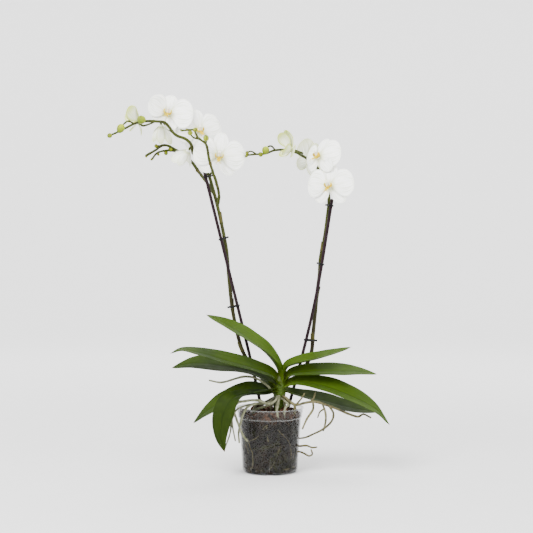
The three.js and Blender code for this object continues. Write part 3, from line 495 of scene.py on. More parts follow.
def rod(shape, path, radii, sides=12, spacing=3.0, tone=0.0, knobs=0.0, seed=1):
    """A round rod along a path, with domed ends. knobs makes its thickness uneven."""
    count = max(6, int(length_of(path) / spacing))
    t = np.linspace(0, 1, count)
    centres, directions = curve_at(path, t)
    radius = np.interp(t, np.linspace(0, 1, len(radii)), radii) * (1 + knobs * ripple(t, seed))
    side, up = frames_along(directions)
    dome = np.radians([78, 52, 26])
    ends = [(0, -1, dome), (-1, 1, dome[::-1])]
    for end, way, angles in ends:
        offsets = (way * radius[end] * np.sin(angles))[:, None] * directions[end]
        extra = [centres[end] + offsets, radius[end] * np.cos(angles), np.full(3, t[end])]
        repeated = [np.repeat(x[[end]], 3, axis=0) for x in (side, up)]
        order = (lambda new, old: (new, old)) if end == 0 else (lambda new, old: (old, new))
        centres, radius, t, side, up = (
            np.concatenate(order(new, old))
            for new, old in zip(extra + repeated, (centres, radius, t, side, up))
        )
    angle = 2 * np.pi * np.arange(sides) / sides
    around = side[:, None] * np.cos(angle)[:, None] + up[:, None] * np.sin(angle)[:, None]
    uneven = 1 + 0.5 * knobs * ripple(t[:, None] + angle / 9, seed + 5)
    points = centres[:, None] + around * (radius[:, None] * uneven)[..., None]
    marks = np.stack(np.broadcast_arrays(t[:, None], np.cos(angle)[None], tone), -1)
    rows = len(centres)
    faces = grid_faces(rows, sides, ring=True)
    faces += [list(range(sides))[::-1], [(rows - 1) * sides + s for s in range(sides)]]
    shape.add(points.reshape(-1, 3), marks.reshape(-1, 3), faces)


trial = Shape()
rod(trial, [[0, 0, 0], [0, 0, 30]], [2])
print("a plain rod of 30 mm has", trial.count, "points")


# %% A thin blade
def facing_of(surface):
    """The direction that each point of a gridded surface faces."""
    return unit(np.cross(np.gradient(surface, axis=0), np.gradient(surface, axis=1)))


def blade(shape, rows, columns, place, tone=0.0):
    """A leaf-like solid. place(t, v) gives its middle surface, its normals and its thickness."""
    t = (1 - np.cos(np.pi * np.linspace(0, 1, rows))) / 2
    v = np.sin(np.pi / 2 * np.linspace(-1, 1, columns))
    t, v = np.meshgrid(t, v, indexing="ij")
    middle, normal, thickness = place(t, v)
    round_edge = np.sqrt(np.clip(1 - v**8, 0.12, 1)) * np.sqrt(np.clip(1 - t**24, 0.12, 1))
    lift = normal * (thickness * round_edge / 2)[..., None]
    points = np.concatenate([middle + lift, (middle - lift)[:, ::-1]], axis=1)
    across = np.concatenate([v, v[:, ::-1]], axis=1)
    marks = np.stack(np.broadcast_arrays(t[:, :1], across, tone), -1)
    faces = grid_faces(rows, 2 * columns, ring=True)
    last = (rows - 1) * 2 * columns
    for j in range(columns - 1):
        k = 2 * columns - 1 - j
        faces += [[j, k, k - 1, j + 1], [last + j, last + j + 1, last + k - 1, last + k]]
    if np.dot(np.cross(middle[1, 0] - middle[0, 0], middle[0, 1] - middle[0, 0]), normal[0, 0]) > 0:
        faces = [face[::-1] for face in faces]
    shape.add(points.reshape(-1, 3), marks.reshape(-1, 3), faces)


print("helpers ready: rod and blade")

# %% [markdown]
# ## Finishes
#
# A finish is a tree of nodes that ends in one Principled shader. The class below only shortens the
# wiring: it makes a node, links it and hands back its output. Patterns read either the place in the
# object, which suits bark and roots, or the marks of the mesh, which suits veins that have to run from
# a leaf's base to its tip.

# %% The finish helper
PAINT_DEPTH = 0.62


def paint(red, green, blue, depth=PAINT_DEPTH):
    """A screen colour (0 to 255) as the linear values that Blender uses, darkened for the strong light."""
    linear = lambda x: x / 12.92 if x <= 0.04045 else ((x + 0.055) / 1.055) ** 2.4
    return (depth * linear(red / 255), depth * linear(green / 255), depth * linear(blue / 255), 1.0)


class Finish:
    """A material that is wired node by node into one Principled shader."""

    def __init__(self, name, **sockets):
        self.material = bpy.data.materials.new(name)
        self.material.use_nodes = True
        self.nodes, self.links = self.material.node_tree.nodes, self.material.node_tree.links
        self.shader = self.nodes["Principled BSDF"]
        for key, value in sockets.items():
            self.shader.inputs[key.replace("_", " ").title().replace("Ior", "IOR")].default_value = value

    def set(self, socket, value):
        if isinstance(value, bpy.types.NodeSocket):
            self.links.new(value, socket)
        else:
            socket.default_value = value

    def node(self, kind, settings=(), output=0, **inputs):
        made = self.nodes.new("ShaderNode" + kind)
        for key, value in dict(settings).items():
            setattr(made, key, value)
        for key, value in inputs.items():
            self.set(made.inputs[int(key[1:]) if key[0] == "i" and key[1:].isdigit() else key], value)
        return made.outputs[output]

    def place(self, stretch=(1, 1, 1)):
        """The place in the object in millimetres, stretched."""
        scale = tuple(1000 * s for s in stretch)
        where = self.node("TexCoord", output="Object")
        return self.node("VectorMath", {"operation": "MULTIPLY"}, i0=where, i1=scale)

    def mark(self, stretch=None):
        """The mesh's marks, stretched as a place to put a pattern in, or split in three numbers."""
        marks = self.node("Attribute", {"attribute_name": "mark"}, output="Vector")
        if stretch:
            return self.node("VectorMath", {"operation": "MULTIPLY"}, i0=marks, i1=stretch)
        split = self.nodes.new("ShaderNodeSeparateXYZ")
        self.links.new(marks, split.inputs[0])
        return split.outputs

    def noise(self, where, detail=3.0, roughness=0.5, distortion=0.0):
        return self.node("TexNoise", output="Fac", Vector=where, Scale=1.0, Detail=detail,
                         Roughness=roughness, Distortion=distortion)

    def cells(self, where):
        """How far a place is from the border between two cells."""
        return self.node("TexVoronoi", {"feature": "DISTANCE_TO_EDGE"}, output="Distance", Vector=where,
                         Scale=1.0)

    def maths(self, operation, first, second=0.0, third=0.0):
        return self.node("Math", {"operation": operation}, i0=first, i1=second, i2=third)

    def between(self, value, low, high):
        """0 below low and 1 above high, smooth in between."""
        made = self.nodes.new("ShaderNodeMapRange")
        made.interpolation_type = "SMOOTHSTEP"
        for key, number in (("Value", value), ("From Min", low), ("From Max", high)):
            self.set(made.inputs[key], number)
        return made.outputs["Result"]

    def mix(self, amount, first, second):
        """The first colour at amount 0 and the second at amount 1."""
        made = self.nodes.new("ShaderNodeMix")
        made.data_type = "RGBA"
        for i, value in ((0, amount), (6, first), (7, second)):
            self.set(made.inputs[i], value)
        return made.outputs[2]

    def colour(self, output):
        self.set(self.shader.inputs["Base Color"], output)

    def rough(self, value, low, high):
        """Roughness that follows a pattern, from low to high."""
        spread = self.nodes.new("ShaderNodeMapRange")
        self.set(spread.inputs["Value"], value)
        spread.inputs["To Min"].default_value, spread.inputs["To Max"].default_value = low, high
        self.links.new(spread.outputs["Result"], self.shader.inputs["Roughness"])

    def bump(self, height, depth, strength=1.0):
        """Relief of a depth in millimetres."""
        made = self.nodes.new("ShaderNodeBump")
        made.inputs["Strength"].default_value = strength
        made.inputs["Distance"].default_value = depth * 0.001
        self.links.new(height, made.inputs["Height"])
        self.links.new(made.outputs["Normal"], self.shader.inputs["Normal"])


print("screen colour 128 is", round(paint(128, 128, 128)[0], 3), "in linear light")

# %% [markdown]
# ## The pot
#
# The pot is thin clear plastic, pressed from one sheet: a slow taper, a small ledge where the rim
# band starts, a second step and a rolled lip. A lathe profile with a Screw modifier would spin it,
# but the drain slots and the arched notches at its foot have to be cut as well, so the profile is
# spun point by point and a boolean cuts them. A grey film, a low alpha and a clear gloss make the wall
# read as plastic in front of the bark without slow glass rays, as most of what shows of such a pot is
# what lies behind it. The film is denser where one looks along the wall. Above the ledge it is paler,
# which is painted light from the pale backdrop behind the band, and a pale line at the ledge and at
# the rim, with a denser film under it, is a painted highlight.

# %% Clear plastic
FILM = {"wall": 0.17, "band": 0.13, "line": 0.2, "edge": 0.45}
clear = Finish("clear_plastic", roughness=0.12, ior=1.49, specular_ior_level=0.5)
clear.shader.inputs["Coat Weight"].default_value = 0.15
clear.shader.inputs["Coat Roughness"].default_value = 0.05
smear = clear.noise(clear.place((0.03, 0.03, 0.012)), detail=4)
clear.rough(smear, 0.08, 0.24)
facing = clear.node("LayerWeight", output="Facing", Blend=0.35)
height = clear.node("SeparateXYZ", i0=clear.place(), output=2)
# A painted highlight: a pale, denser line of film at the ledge and at the rim.
from_ledge = clear.maths("ABSOLUTE", clear.maths("SUBTRACT", height, POT["ledge"] + 1))
ledge = clear.between(from_ledge, 1.8, 0.4)
lines = clear.maths("MAXIMUM", ledge, clear.between(height, POT["height"] - 2.8, POT["height"] - 1.6))
above = clear.between(height, POT["ledge"] - 1, POT["ledge"] + 1)
film = clear.mix(smear, paint(50, 50, 47), paint(34, 34, 32))
# Above the ledge the film is painted paler: painted light from the backdrop behind the band.
film = clear.mix(above, film, paint(88, 88, 85))
clear.colour(clear.mix(lines, film, paint(140, 142, 140)))
thick = clear.maths("MULTIPLY_ADD", above, FILM["band"] - FILM["wall"], FILM["wall"])
thick = clear.maths("MULTIPLY_ADD", lines, FILM["line"], thick)
grazing = clear.maths("POWER", facing, 2)
clear.set(clear.shader.inputs["Alpha"], clear.maths("MULTIPLY_ADD", grazing, FILM["edge"], thick))
clear.bump(clear.noise(clear.place((0.05, 0.05, 0.02)), detail=2), 0.5, 0.4)
print("pot film:", FILM)


# %% The pot's wall, spun and cut
POT_SIDES = 144


def spin(shape, profile, around):
    """A line of (radius, height) points turned about the pot's axis, open at both ends."""
    profile = np.array(profile, float)
    angle = 2 * np.pi * np.arange(around) / around
    r, z = profile[:, :1], np.repeat(profile[:, 1:], around, 1)
    points = np.stack([r * np.cos(angle), r * np.sin(angle), z], -1).reshape(-1, 3)
    marks = np.stack(np.broadcast_arrays(z / z.max(), np.cos(angle)[None], 0.0), -1).reshape(-1, 3)
    shape.add(points, marks, grid_faces(len(profile), around, ring=True))


def cut(piece, cutter):
    """Takes the cutter away from the piece and removes it."""
    modifier = piece.modifiers.new("cut", "BOOLEAN")
    modifier.operation, modifier.object, modifier.solver = "DIFFERENCE", cutter, "EXACT"
    bpy.context.view_layer.update()
    cut_mesh = bpy.data.meshes.new_from_object(piece.evaluated_get(bpy.context.evaluated_depsgraph_get()))
    piece.modifiers.clear()
    piece.data = cut_mesh
    bpy.data.objects.remove(cutter)


def wall_radius(z):
    """The pot wall's outer radius at a height, between its foot and its ledge."""
    part = (z - POT["corner"]) / (POT["ledge"] - POT["corner"])
    return POT["base"] + (POT["wall_at_ledge"] - POT["base"]) * part


outside = [
    (0.4, 0.6), (20, 0.3), (40, 0), (POT["foot"], 0), (48, 0.8), (49.2, 2.4), (49.6, 5), (50.4, 16),
    (52, 39), (53.9, 66), (55.3, 86), (55.9, 95), (56.4, 96.4), (57.3, 97.1), (POT["band"], 98),
    (58.3, 103), (58.6, 105.4), (59.2, 106), (59.3, 107), (59.5, 112), (60.2, 112.9), (60.6, 113.6),
    (60.6, 114.5), (60.2, POT["height"]),
]
inside = [
    (59.2, POT["height"]), (58.7, 114.2), (58.2, 112), (58, 107), (57.4, 105.6), (56.9, 102), (56.3, 98.6),
    (55.2, 97.4), (54.7, 96), (53.6, 80), (52.2, 60), (50.2, 32), (48.4, 6), (47.4, 2.6), (45, 1.3),
    (30, 1.2), (0.4, 1.4),
]
pot_shape = Shape()
spin(pot_shape, outside + inside, POT_SIDES)
pole = pot_shape.count
pot_shape.add(np.array([[0, 0, outside[0][1]], [0, 0, inside[-1][1]]]), np.zeros((2, 3)), [])
pot_shape.faces += [[j, pole, (j + 1) % POT_SIDES] for j in range(POT_SIDES)]
last = (len(outside + inside) - 1) * POT_SIDES
pot_shape.faces += [[last + j, last + (j + 1) % POT_SIDES, pole + 1] for j in range(POT_SIDES)]
pot_piece = pot_shape.piece("pot_clear", clear.material, "clear_plastic", ["pot"])
print("pot wall:", len(pot_piece.data.polygons), "faces before cutting")


# %% Arched notches at the foot and a tall slot on each side
def cutter_of(outline, angle, near, far):
    """A bar with an outline in (sideways, up), which reaches from near to far out at an angle."""
    c, s = math.cos(angle), math.sin(angle)
    points = [(c * r - s * x, s * r + c * x, z) for r in (near, far) for x, z in outline]
    count = len(outline)
    faces = [[i, (i + 1) % count, count + (i + 1) % count, count + i] for i in range(count)]
    faces += [list(range(count))[::-1], list(range(count, 2 * count))]
    mesh = bpy.data.meshes.new("cutter")
    mesh.from_pydata([[0.001 * a for a in p] for p in points], [], faces)
    made = bpy.data.objects.new("cutter", mesh)
    bpy.context.scene.collection.objects.link(made)
    return made


w, h = NOTCH["width"] / 2, NOTCH["height"]
arch = [(-w, -2), (w, -2)]
arch += [(w * math.cos(a), h * math.sin(a) ** 0.8) for a in np.linspace(0.05, math.pi - 0.05, 13)]
for i in range(NOTCH["count"]):
    cut(pot_piece, cutter_of(arch, math.radians(90 * i - 90), near=34, far=POT["rim"]))
w = SLOT["width"] / 2
tall = [
    (-w, SLOT["low"] + w), (-w * 0.6, SLOT["low"] + 0.8), (0, SLOT["low"]),
    (w * 0.6, SLOT["low"] + 0.8), (w, SLOT["low"] + w), (w, SLOT["high"] - w),
    (w * 0.6, SLOT["high"] - 0.8), (0, SLOT["high"]), (-w * 0.6, SLOT["high"] - 0.8),
    (-w, SLOT["high"] - w),
]
for side in (0, math.pi):
    cut(pot_piece, cutter_of(tall, side, near=40, far=66))
pot_piece.data.shade_smooth()
print("pot wall:", len(pot_piece.data.polygons), "faces after cutting")

# %% [markdown]
# ## The bark
#
# Orchids grow in chips of fir bark, not in soil. Against the clear wall one sees flat faces of dark,
# damp chips with soaked patches, green algae and pale roots that search along the plastic, while the dry
# chips on top are a warm red-brown. A particle system could pour the chips in, but a few hundred chunky
# blocks from one small recipe, each with its own size, turn and tone, are steadier. A chip that would
# poke out is pressed flat against the wall or a little short of it, as in a real pot.

# %% Bark finish
bark = Finish("fir_bark", specular_ior_level=0.08)
grain = bark.noise(bark.place((0.12, 0.12, 0.2)), detail=4, distortion=0.8)
tone = bark.mark()[2]
dry = bark.mix(tone, paint(46, 27, 18), paint(104, 70, 48))
damp = bark.mix(tone, paint(18, 15, 11), paint(60, 49, 38))
height = bark.node("SeparateXYZ", i0=bark.place(), output=2)
shade = bark.mix(bark.between(height, 86, 104), damp, dry)
shade = bark.mix(bark.between(grain, 0.35, 0.75), shade, bark.mix(0.55, shade, paint(12, 9, 7)))
soaked = bark.between(bark.noise(bark.place((0.028, 0.028, 0.035)), detail=3), 0.42, 0.6)
soaked = bark.maths("MULTIPLY", soaked, bark.between(height, 90, 72))
shade = bark.mix(bark.maths("MULTIPLY", soaked, 0.6), shade, paint(15, 14, 12))
algae = bark.between(bark.noise(bark.place((0.03, 0.03, 0.03)), detail=4, distortion=1.5), 0.5, 0.68)
algae = bark.maths("MULTIPLY", algae, bark.between(height, 98, 60))
shade = bark.mix(bark.maths("MULTIPLY", algae, 0.6), shade, paint(62, 66, 30))
bark.colour(shade)
bark.rough(grain, 0.7, 0.98)
flakes = bark.cells(bark.place((0.12, 0.12, 0.25)))
bark.bump(bark.maths("MULTIPLY_ADD", flakes, 0.6, grain), 0.5, 0.35)
print("bark finish:", len(bark.nodes), "nodes")


# %% A chip
def chip(shape, centre, size, turn, draw, limit=None):
    """One chunky chip: a rounded block with worn, uneven sides. limit keeps it inside the pot."""
    rows, columns = 7, 10
    theta = np.linspace(0.12, math.pi - 0.12, rows)[:, None]
    phi = (2 * np.pi * np.arange(columns) / columns)[None]
    ball = np.stack([np.sin(theta) * np.cos(phi), np.sin(theta) * np.sin(phi), np.cos(theta) + 0 * phi], -1)
    block = np.sign(ball) * np.abs(ball) ** 0.5
    dents = 1 + 0.16 * np.sin(3.1 * ball @ draw.normal(size=3) + 9 * draw.random())[..., None]
    slant = draw.normal(scale=0.25, size=(3, 3)) + np.eye(3)
    points = (block * dents * np.array(size) / 2) @ slant @ turn + centre
    if limit:
        reach = np.hypot(points[..., 0], points[..., 1])
        most = limit(points[..., 2])
        points[..., :2] *= np.minimum(1, most / np.maximum(reach, 1e-6))[..., None]
        points[..., 2] = np.maximum(points[..., 2], 2.2)
    faces = grid_faces(rows, columns, ring=True)
    faces += [list(range(columns)), list(range(rows * columns - 1, (rows - 1) * columns - 1, -1))]
    marks = np.zeros_like(points)
    marks[..., 2] = draw.random()
    shape.add(points.reshape(-1, 3), marks.reshape(-1, 3), [face[::-1] for face in faces])


def random_turn(draw):
    """Three axes at right angles, turned any way."""
    axes, _ = np.linalg.qr(draw.normal(size=(3, 3)))
    return axes


def inner(z):
    """How far out bark and roots may reach behind the wall, at a height."""
    return wall_radius(np.clip(z, POT["corner"], POT["ledge"])) - POT["wall"] - 0.5


print("room behind the wall:", round(inner(0)), "to", round(inner(POT["ledge"])), "mm from the axis")

# %% A dark core, rows of chips against the wall and a loose heap on top
WALL_CHIPS = {"size": [19, 12, 10], "lowest": 8, "highest": 99, "row": 7.5, "press": 3.2}
TOP_CHIPS = {"size": [20, 13, 9], "count": 90, "height": 101, "spread": 52, "band": 56.5}
draw = np.random.default_rng(41)
chips = Shape()
core = [(0.4, 3)] + [(inner(z) - 7, z) for z in np.linspace(3, 93, 12)] + [(30, 97), (0.4, 99)]
spin(chips, core, 48)
# The core is given a dark bark tone, a painted shade in the gaps between the chips.
chips.marks[-1][:, 2] = 0.15
for z in np.arange(WALL_CHIPS["lowest"], WALL_CHIPS["highest"], WALL_CHIPS["row"]):
    around = 20 + int(z / 30)
    for i in range(around):
        angle = 2 * math.pi * (i + 0.7 * draw.random()) / around
        size = np.array(WALL_CHIPS["size"]) * draw.uniform(0.6, 1.25) * draw.uniform(0.85, 1.15, 3)
        r = inner(z) - 3.5 - 2.5 * draw.random()
        centre = [r * math.cos(angle), r * math.sin(angle), z + draw.uniform(-3, 3)]
        c, s = math.cos(angle), math.sin(angle)
        tilt = draw.uniform(0, math.pi)
        flat = np.array([
            [-s * math.cos(tilt), c * math.cos(tilt), math.sin(tilt)],
            [s * math.sin(tilt), -c * math.sin(tilt), math.cos(tilt)],
            [c, s, 0],
        ])
        press = draw.uniform(0, WALL_CHIPS["press"])
        chip(chips, centre, size, flat, draw, lambda z: inner(z) - press)
for i in range(TOP_CHIPS["count"]):
    angle, r = draw.uniform(0, 2 * math.pi), TOP_CHIPS["spread"] * math.sqrt(draw.random())
    size = np.array(TOP_CHIPS["size"]) * draw.uniform(0.6, 1.2)
    z = TOP_CHIPS["height"] + draw.uniform(-4, 6) - 4 * (r / TOP_CHIPS["spread"]) ** 2
    centre = [r * math.cos(angle), r * math.sin(angle), z]
    chip(chips, centre, size, random_turn(draw), draw,
         lambda z: np.where(z < POT["ledge"] + 2, inner(z), TOP_CHIPS["band"]))
bark_piece = chips.piece("bark_chips", bark.material, "bark", ["bark"])
print("bark:", len(bark_piece.data.vertices), "points")

# %% [markdown]
# ## Roots
#
# A moth orchid's roots are as thick as a pencil lead up to a pencil, wrapped in a spongy silver layer
# that turns green when wet. Some dive into the bark, others wander over the rim or out of the slots.
# They are rods with uneven thickness, mottled along their length, and a tone that makes the ones on the
# right browner, as they are drier there. Thin rods lose their edges in front of a pale backdrop, so the
# crown's roots, and later the spikes, their shoots and the stakes, are made a little fuller than the
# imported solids.

# %% Root finish
root = Finish("root_silver", specular_ior_level=0.3)
mottle = root.noise(root.place((0.12, 0.12, 0.12)), detail=5, roughness=0.6)
fine = root.noise(root.place((0.9, 0.9, 0.9)), detail=4)
tone = root.mark()[2]
silver = root.mix(root.between(mottle, 0.35, 0.65), paint(96, 100, 70), paint(150, 152, 122))
olive = root.mix(root.between(mottle, 0.35, 0.65), paint(60, 52, 22), paint(108, 96, 46))
shade = root.mix(tone, silver, olive)
root.colour(root.mix(root.between(fine, 0.45, 0.75), shade, root.mix(0.35, shade, paint(50, 46, 30))))
root.rough(fine, 0.55, 0.9)
root.bump(root.maths("MULTIPLY_ADD", mottle, 0.7, fine), 0.5, 0.8)
print("root finish:", len(root.nodes), "nodes")

# %% Roots in the air
FULLER = {"root": 0.3, "spike": 0.25, "shoot": 0.6, "stake": 0.2}
ROOT_TONES = {"left": 0.1, "crown": 0.3, "right": 0.75, "side": 0.9}
SHORT_ROOTS = {"angles": (3.5, 4.4, 5.6), "line": [(6, 134), (11, 128), (14, 117), (18, 101)]}
crown = Shape()
for i, line in enumerate(ROOTS):
    r = line["radius"] + FULLER["root"]
    tone = ROOT_TONES["right" if line["path"][-1][0] > 40 else "left"]
    rod(crown, line["path"], [r, 1.08 * r, r, 0.75 * r], 14, 1.6, tone=tone, knobs=0.12, seed=i)
foot = STEM["path"][0][0]
for i, angle in enumerate(SHORT_ROOTS["angles"]):
    c, s = math.cos(angle), math.sin(angle)
    path = [[foot + out * c, out * s, z] for out, z in SHORT_ROOTS["line"]]
    rod(crown, path, [2.2, 2.4, 1.9], 12, 1.8, tone=ROOT_TONES["crown"], knobs=0.12, seed=40 + i)
crown.piece("roots_crown", root.material, "root_silver", ["roots"])
for name, line in SIDE_ROOTS.items():
    side_root = Shape()
    r = line["radius"]
    tone = ROOT_TONES["side"]
    rod(side_root, line["path"], [r, 1.1 * r, r, 0.8 * r], 14, 1.4, tone=tone, knobs=0.14, seed=len(name))
    side_root.piece(name + "_fine", root.material, "root_silver", [name])
print("roots in the air:", len(ROOTS) + len(SIDE_ROOTS) + len(SHORT_ROOTS["angles"]))

# %% Roots in the bark, behind the wall
STRANDS = 20
strands = Shape()
for i in range(STRANDS):
    angle, z = draw.uniform(0, 2 * math.pi), draw.uniform(24, 90)
    heading, path = draw.uniform(-1, 1), []
    r, deep = draw.uniform(0.8, 1.5), draw.uniform(0.3, 2.6)
    for step in range(draw.integers(5, 9)):
        reach = inner(z) - r - deep
        path.append([reach * math.cos(angle), reach * math.sin(angle), z])
        heading += draw.uniform(-0.5, 0.5)
        angle += 0.16 * heading
        z = float(np.clip(z - draw.uniform(3, 12), 6 + draw.uniform(0, 5), 98))
    rod(strands, path, [r, r, 0.8 * r], 10, 2.0, tone=draw.uniform(0.7, 1.0), knobs=0.12, seed=70 + i)
strands.piece("roots_in_bark", root.material, "root_silver")
print("roots behind the wall:", STRANDS)

# %% [markdown]
# ## Leaves
#
# Each leaf is a thick strap, folded along its midrib where it leaves the stem and flatter towards its
# tip. A subdivided plane with a curve modifier would bend well, but would not keep the same
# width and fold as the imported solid, so the blade helper lays a grid over the same spine. A narrow
# crease marks the midrib and slow waves keep the margins from looking cut out.

# %% Leaf finish
leaf_finish = Finish("leaf_green", specular_ior_level=0.04, subsurface_weight=0.03)
leaf_finish.shader.inputs["Subsurface Radius"].default_value = (0.3, 1.0, 0.1)
leaf_finish.shader.inputs["Subsurface Scale"].default_value = 0.002
along, across, tone = leaf_finish.mark()
streaks = leaf_finish.noise(leaf_finish.mark((1.2, 14, 9)), detail=4, roughness=0.55)
veins = leaf_finish.noise(leaf_finish.mark((0.8, 46, 3)), detail=2)
cloud = leaf_finish.noise(leaf_finish.place((0.02, 0.02, 0.02)), detail=3)
green = leaf_finish.mix(tone, paint(14, 27, 6), paint(68, 94, 14))
paler = leaf_finish.mix(0.22, green, paint(84, 108, 20))
green = leaf_finish.mix(leaf_finish.between(cloud, 0.3, 0.7), green, paler)
deeper = leaf_finish.mix(0.4, green, paint(16, 30, 8))
green = leaf_finish.mix(leaf_finish.between(streaks, 0.45, 0.8), green, deeper)
# The midrib's crease is painted darker: painted shade in the groove.
rib = leaf_finish.between(leaf_finish.maths("ABSOLUTE", across), 0.07, 0.0)
green = leaf_finish.mix(leaf_finish.maths("MULTIPLY", rib, 0.5), green, paint(18, 34, 8))
base = leaf_finish.between(along, 0.16, 0.0)
green = leaf_finish.mix(leaf_finish.maths("MULTIPLY", base, 0.4), green, paint(104, 124, 34))
tip = leaf_finish.between(leaf_finish.maths("MULTIPLY_ADD", streaks, 0.03, along), 0.985, 1.01)
green = leaf_finish.mix(tip, green, paint(72, 50, 22))
leaf_finish.colour(green)
leaf_finish.rough(leaf_finish.noise(leaf_finish.place((0.06, 0.06, 0.06)), detail=4), 0.5, 0.72)
leaf_finish.bump(leaf_finish.maths("MULTIPLY_ADD", streaks, 0.6, veins), 0.25, 0.5)
print("leaf finish:", len(leaf_finish.nodes), "nodes")

# %% A strap leaf
LEAF_WIDEST, LEAF_CLAW = 0.58, 0.3


def leaf(shape, spine, across, half_width, channel, tone, seed):
    """A strap leaf along its spine, folded like a channel, with a crease and waving margins."""
    def place(t, v):
        at, direction = curve_at(spine, t[:, 0])
        knots = np.linspace(0, 1, len(across))
        lean = np.stack([np.interp(t[:, 0], knots, np.array(across)[:, i]) for i in range(3)], -1)
        side = unit(lean - direction * np.sum(lean * direction, -1, keepdims=True))
        up = np.cross(side, direction)
        up *= np.sign(up[np.argmin(np.abs(t[:, 0] - 0.4)), 2]) or 1
        grow = t[:, 0] < LEAF_WIDEST
        past = np.clip((t[:, 0] - LEAF_WIDEST) / (1 - LEAF_WIDEST), 0, 1)
        half = np.where(
            grow, LEAF_CLAW + (1 - LEAF_CLAW) * np.sin(np.pi / 2 * np.minimum(t[:, 0] / LEAF_WIDEST, 1)),
            np.maximum(np.cos(np.pi / 2 * past), 0) ** 0.8,
        )
        half = half_width * np.maximum(half, 0.02)[:, None]
        depth = channel[0] + (channel[1] - channel[0]) * np.sqrt(t)
        fold = depth * half * (np.abs(v) ** 1.4 - 0.4)
        crease = -0.9 * np.exp(-(v / 0.05) ** 2) * np.minimum(1, half / 10)
        wave = 0.8 * v**2 * ripple(t * 0.5 + 0.06 * v, seed, (2, 5, 9)) * np.sin(np.pi * t)
        lift = fold + crease + wave
        middle = at[:, None] + side[:, None] * (half * v)[..., None] + up[:, None] * lift[..., None]
        normal = facing_of(middle)
        normal *= np.sign(np.sum(normal * up[:, None], -1, keepdims=True))
        return middle, normal, (3.2 - 1.8 * np.abs(v)) * np.minimum(1, 0.4 + half / 10)
    blade(shape, 64, 25, place, tone)


print("a leaf is widest at", LEAF_WIDEST, "of its length")

# %% Nine leaves
# Each leaf has its own tone, from dark (0) to light (1). The leaves that face up to the light get the
# lightest and the hanging one the darkest: partly the leaves' own colour, partly painted shade.
LEAF_TONES_AND_SHADE = {
    "leaf_upper_left": 0.66, "leaf_left_front": 0.32, "leaf_left_back": 0.22, "leaf_lower_left": 0.28,
    "leaf_front_hanging": 0.0, "leaf_upper_right": 0.62, "leaf_right_middle": 0.52,
    "leaf_right_front": 0.6, "leaf_lower_right": 0.3,
}
for i, (name, values) in enumerate(LEAVES.items()):
    strap = Shape()
    leaf(strap, tone=LEAF_TONES_AND_SHADE[name], seed=i, **values)
    strap.piece(name + "_blade", leaf_finish.material, "leaf_green", [name])
print("leaves:", len(LEAVES))

# %% [markdown]
# ## Stem, stakes and flower spikes
#
# The short stem is wrapped in the feet of old leaves, which leave rings. Each spike is a smooth green
# rod that gets thinner, with a papery scale around each joint, and its side shoots end in buds. The
# stakes are thin dyed sticks, a little bent by what they hold. A curve with a bevel would do for each of
# them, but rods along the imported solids' own lines keep every part where it was weighed, and their
# finishes read the height above the table and the marks of the mesh.

# %% Stem finish
spike_finish = Finish("stem_green", specular_ior_level=0.12, subsurface_weight=0.05)
spike_finish.shader.inputs["Subsurface Scale"].default_value = 0.002
tone = spike_finish.mark()[2]
mottle = spike_finish.noise(spike_finish.place((0.06, 0.06, 0.06)), detail=5)
specks = spike_finish.noise(spike_finish.place((0.8, 0.8, 0.25)), detail=3)
height = spike_finish.node("SeparateXYZ", i0=spike_finish.place(), output=2)
low, high = paint(46, 42, 16), paint(64, 72, 16)
shade = spike_finish.mix(spike_finish.between(height, 200, 560), low, high)
browner = spike_finish.mix(0.5, shade, paint(34, 22, 14))
shade = spike_finish.mix(spike_finish.between(mottle, 0.4, 0.7), shade, browner)
shade = spike_finish.mix(spike_finish.between(tone, 0.6, 1.0), shade, paint(80, 76, 34))
shade = spike_finish.mix(spike_finish.between(height, 185, 150), shade, paint(66, 88, 14))
spike_finish.colour(spike_finish.mix(spike_finish.between(specks, 0.6, 0.8), shade, paint(70, 74, 26)))
spike_finish.rough(mottle, 0.32, 0.6)
spike_finish.bump(specks, 0.15, 0.5)
print("stem finish:", len(spike_finish.nodes), "nodes")

# %% Bud and stake finishes
bud_finish = Finish("bud_green", specular_ior_level=0.2, subsurface_weight=0.12)
bud_finish.shader.inputs["Subsurface Scale"].default_value = 0.003
along, across, tone = bud_finish.mark()
bloom = bud_finish.noise(bud_finish.place((0.2, 0.2, 0.2)), detail=4)
shade = bud_finish.mix(along, paint(108, 132, 0), paint(184, 198, 0))
shade = bud_finish.mix(bud_finish.maths("MULTIPLY", tone, 0.65), shade, paint(62, 62, 12))
shade = bud_finish.mix(bud_finish.between(across, 0.3, 1.0), shade, paint(56, 50, 12))
browner = bud_finish.mix(0.4, shade, paint(120, 96, 20))
bud_finish.colour(bud_finish.mix(bud_finish.between(bloom, 0.45, 0.75), shade, browner))
bud_finish.rough(bloom, 0.35, 0.6)
bud_finish.bump(bloom, 0.2, 0.5)

stake_finish = Finish("stake_purple", specular_ior_level=0.08)
drawn = stake_finish.noise(stake_finish.place((0.5, 0.5, 0.02)), detail=4)
stake_finish.colour(stake_finish.mix(drawn, paint(16, 8, 12), paint(44, 24, 32)))
stake_finish.rough(drawn, 0.35, 0.6)
stake_finish.bump(drawn, 0.15, 0.6)
print("bud finish:", len(bud_finish.nodes), "nodes, stake finish:", len(stake_finish.nodes))

# %% The short stem
short_stem = Shape()
rod(short_stem, STEM["path"], STEM["radii"], 28, 2.0, tone=0.0, knobs=0.03, seed=3)
for i, start in enumerate((0.42, 0.52, 0.62, 0.72, 0.82)):
    ring, _ = curve_at(STEM["path"], [start, start + 0.04, start + 0.08])
    r = float(np.interp(start, np.linspace(0, 1, len(STEM["radii"])), STEM["radii"]))
    rod(short_stem, ring, [r + 0.2, r + 1.0, r - 0.4], 28, 1.0, tone=0.3, seed=i)
short_stem.piece("stem_fine", spike_finish.material, "stem_green", ["stem"])
print("stem:", round(length_of(STEM["path"])), "mm long")


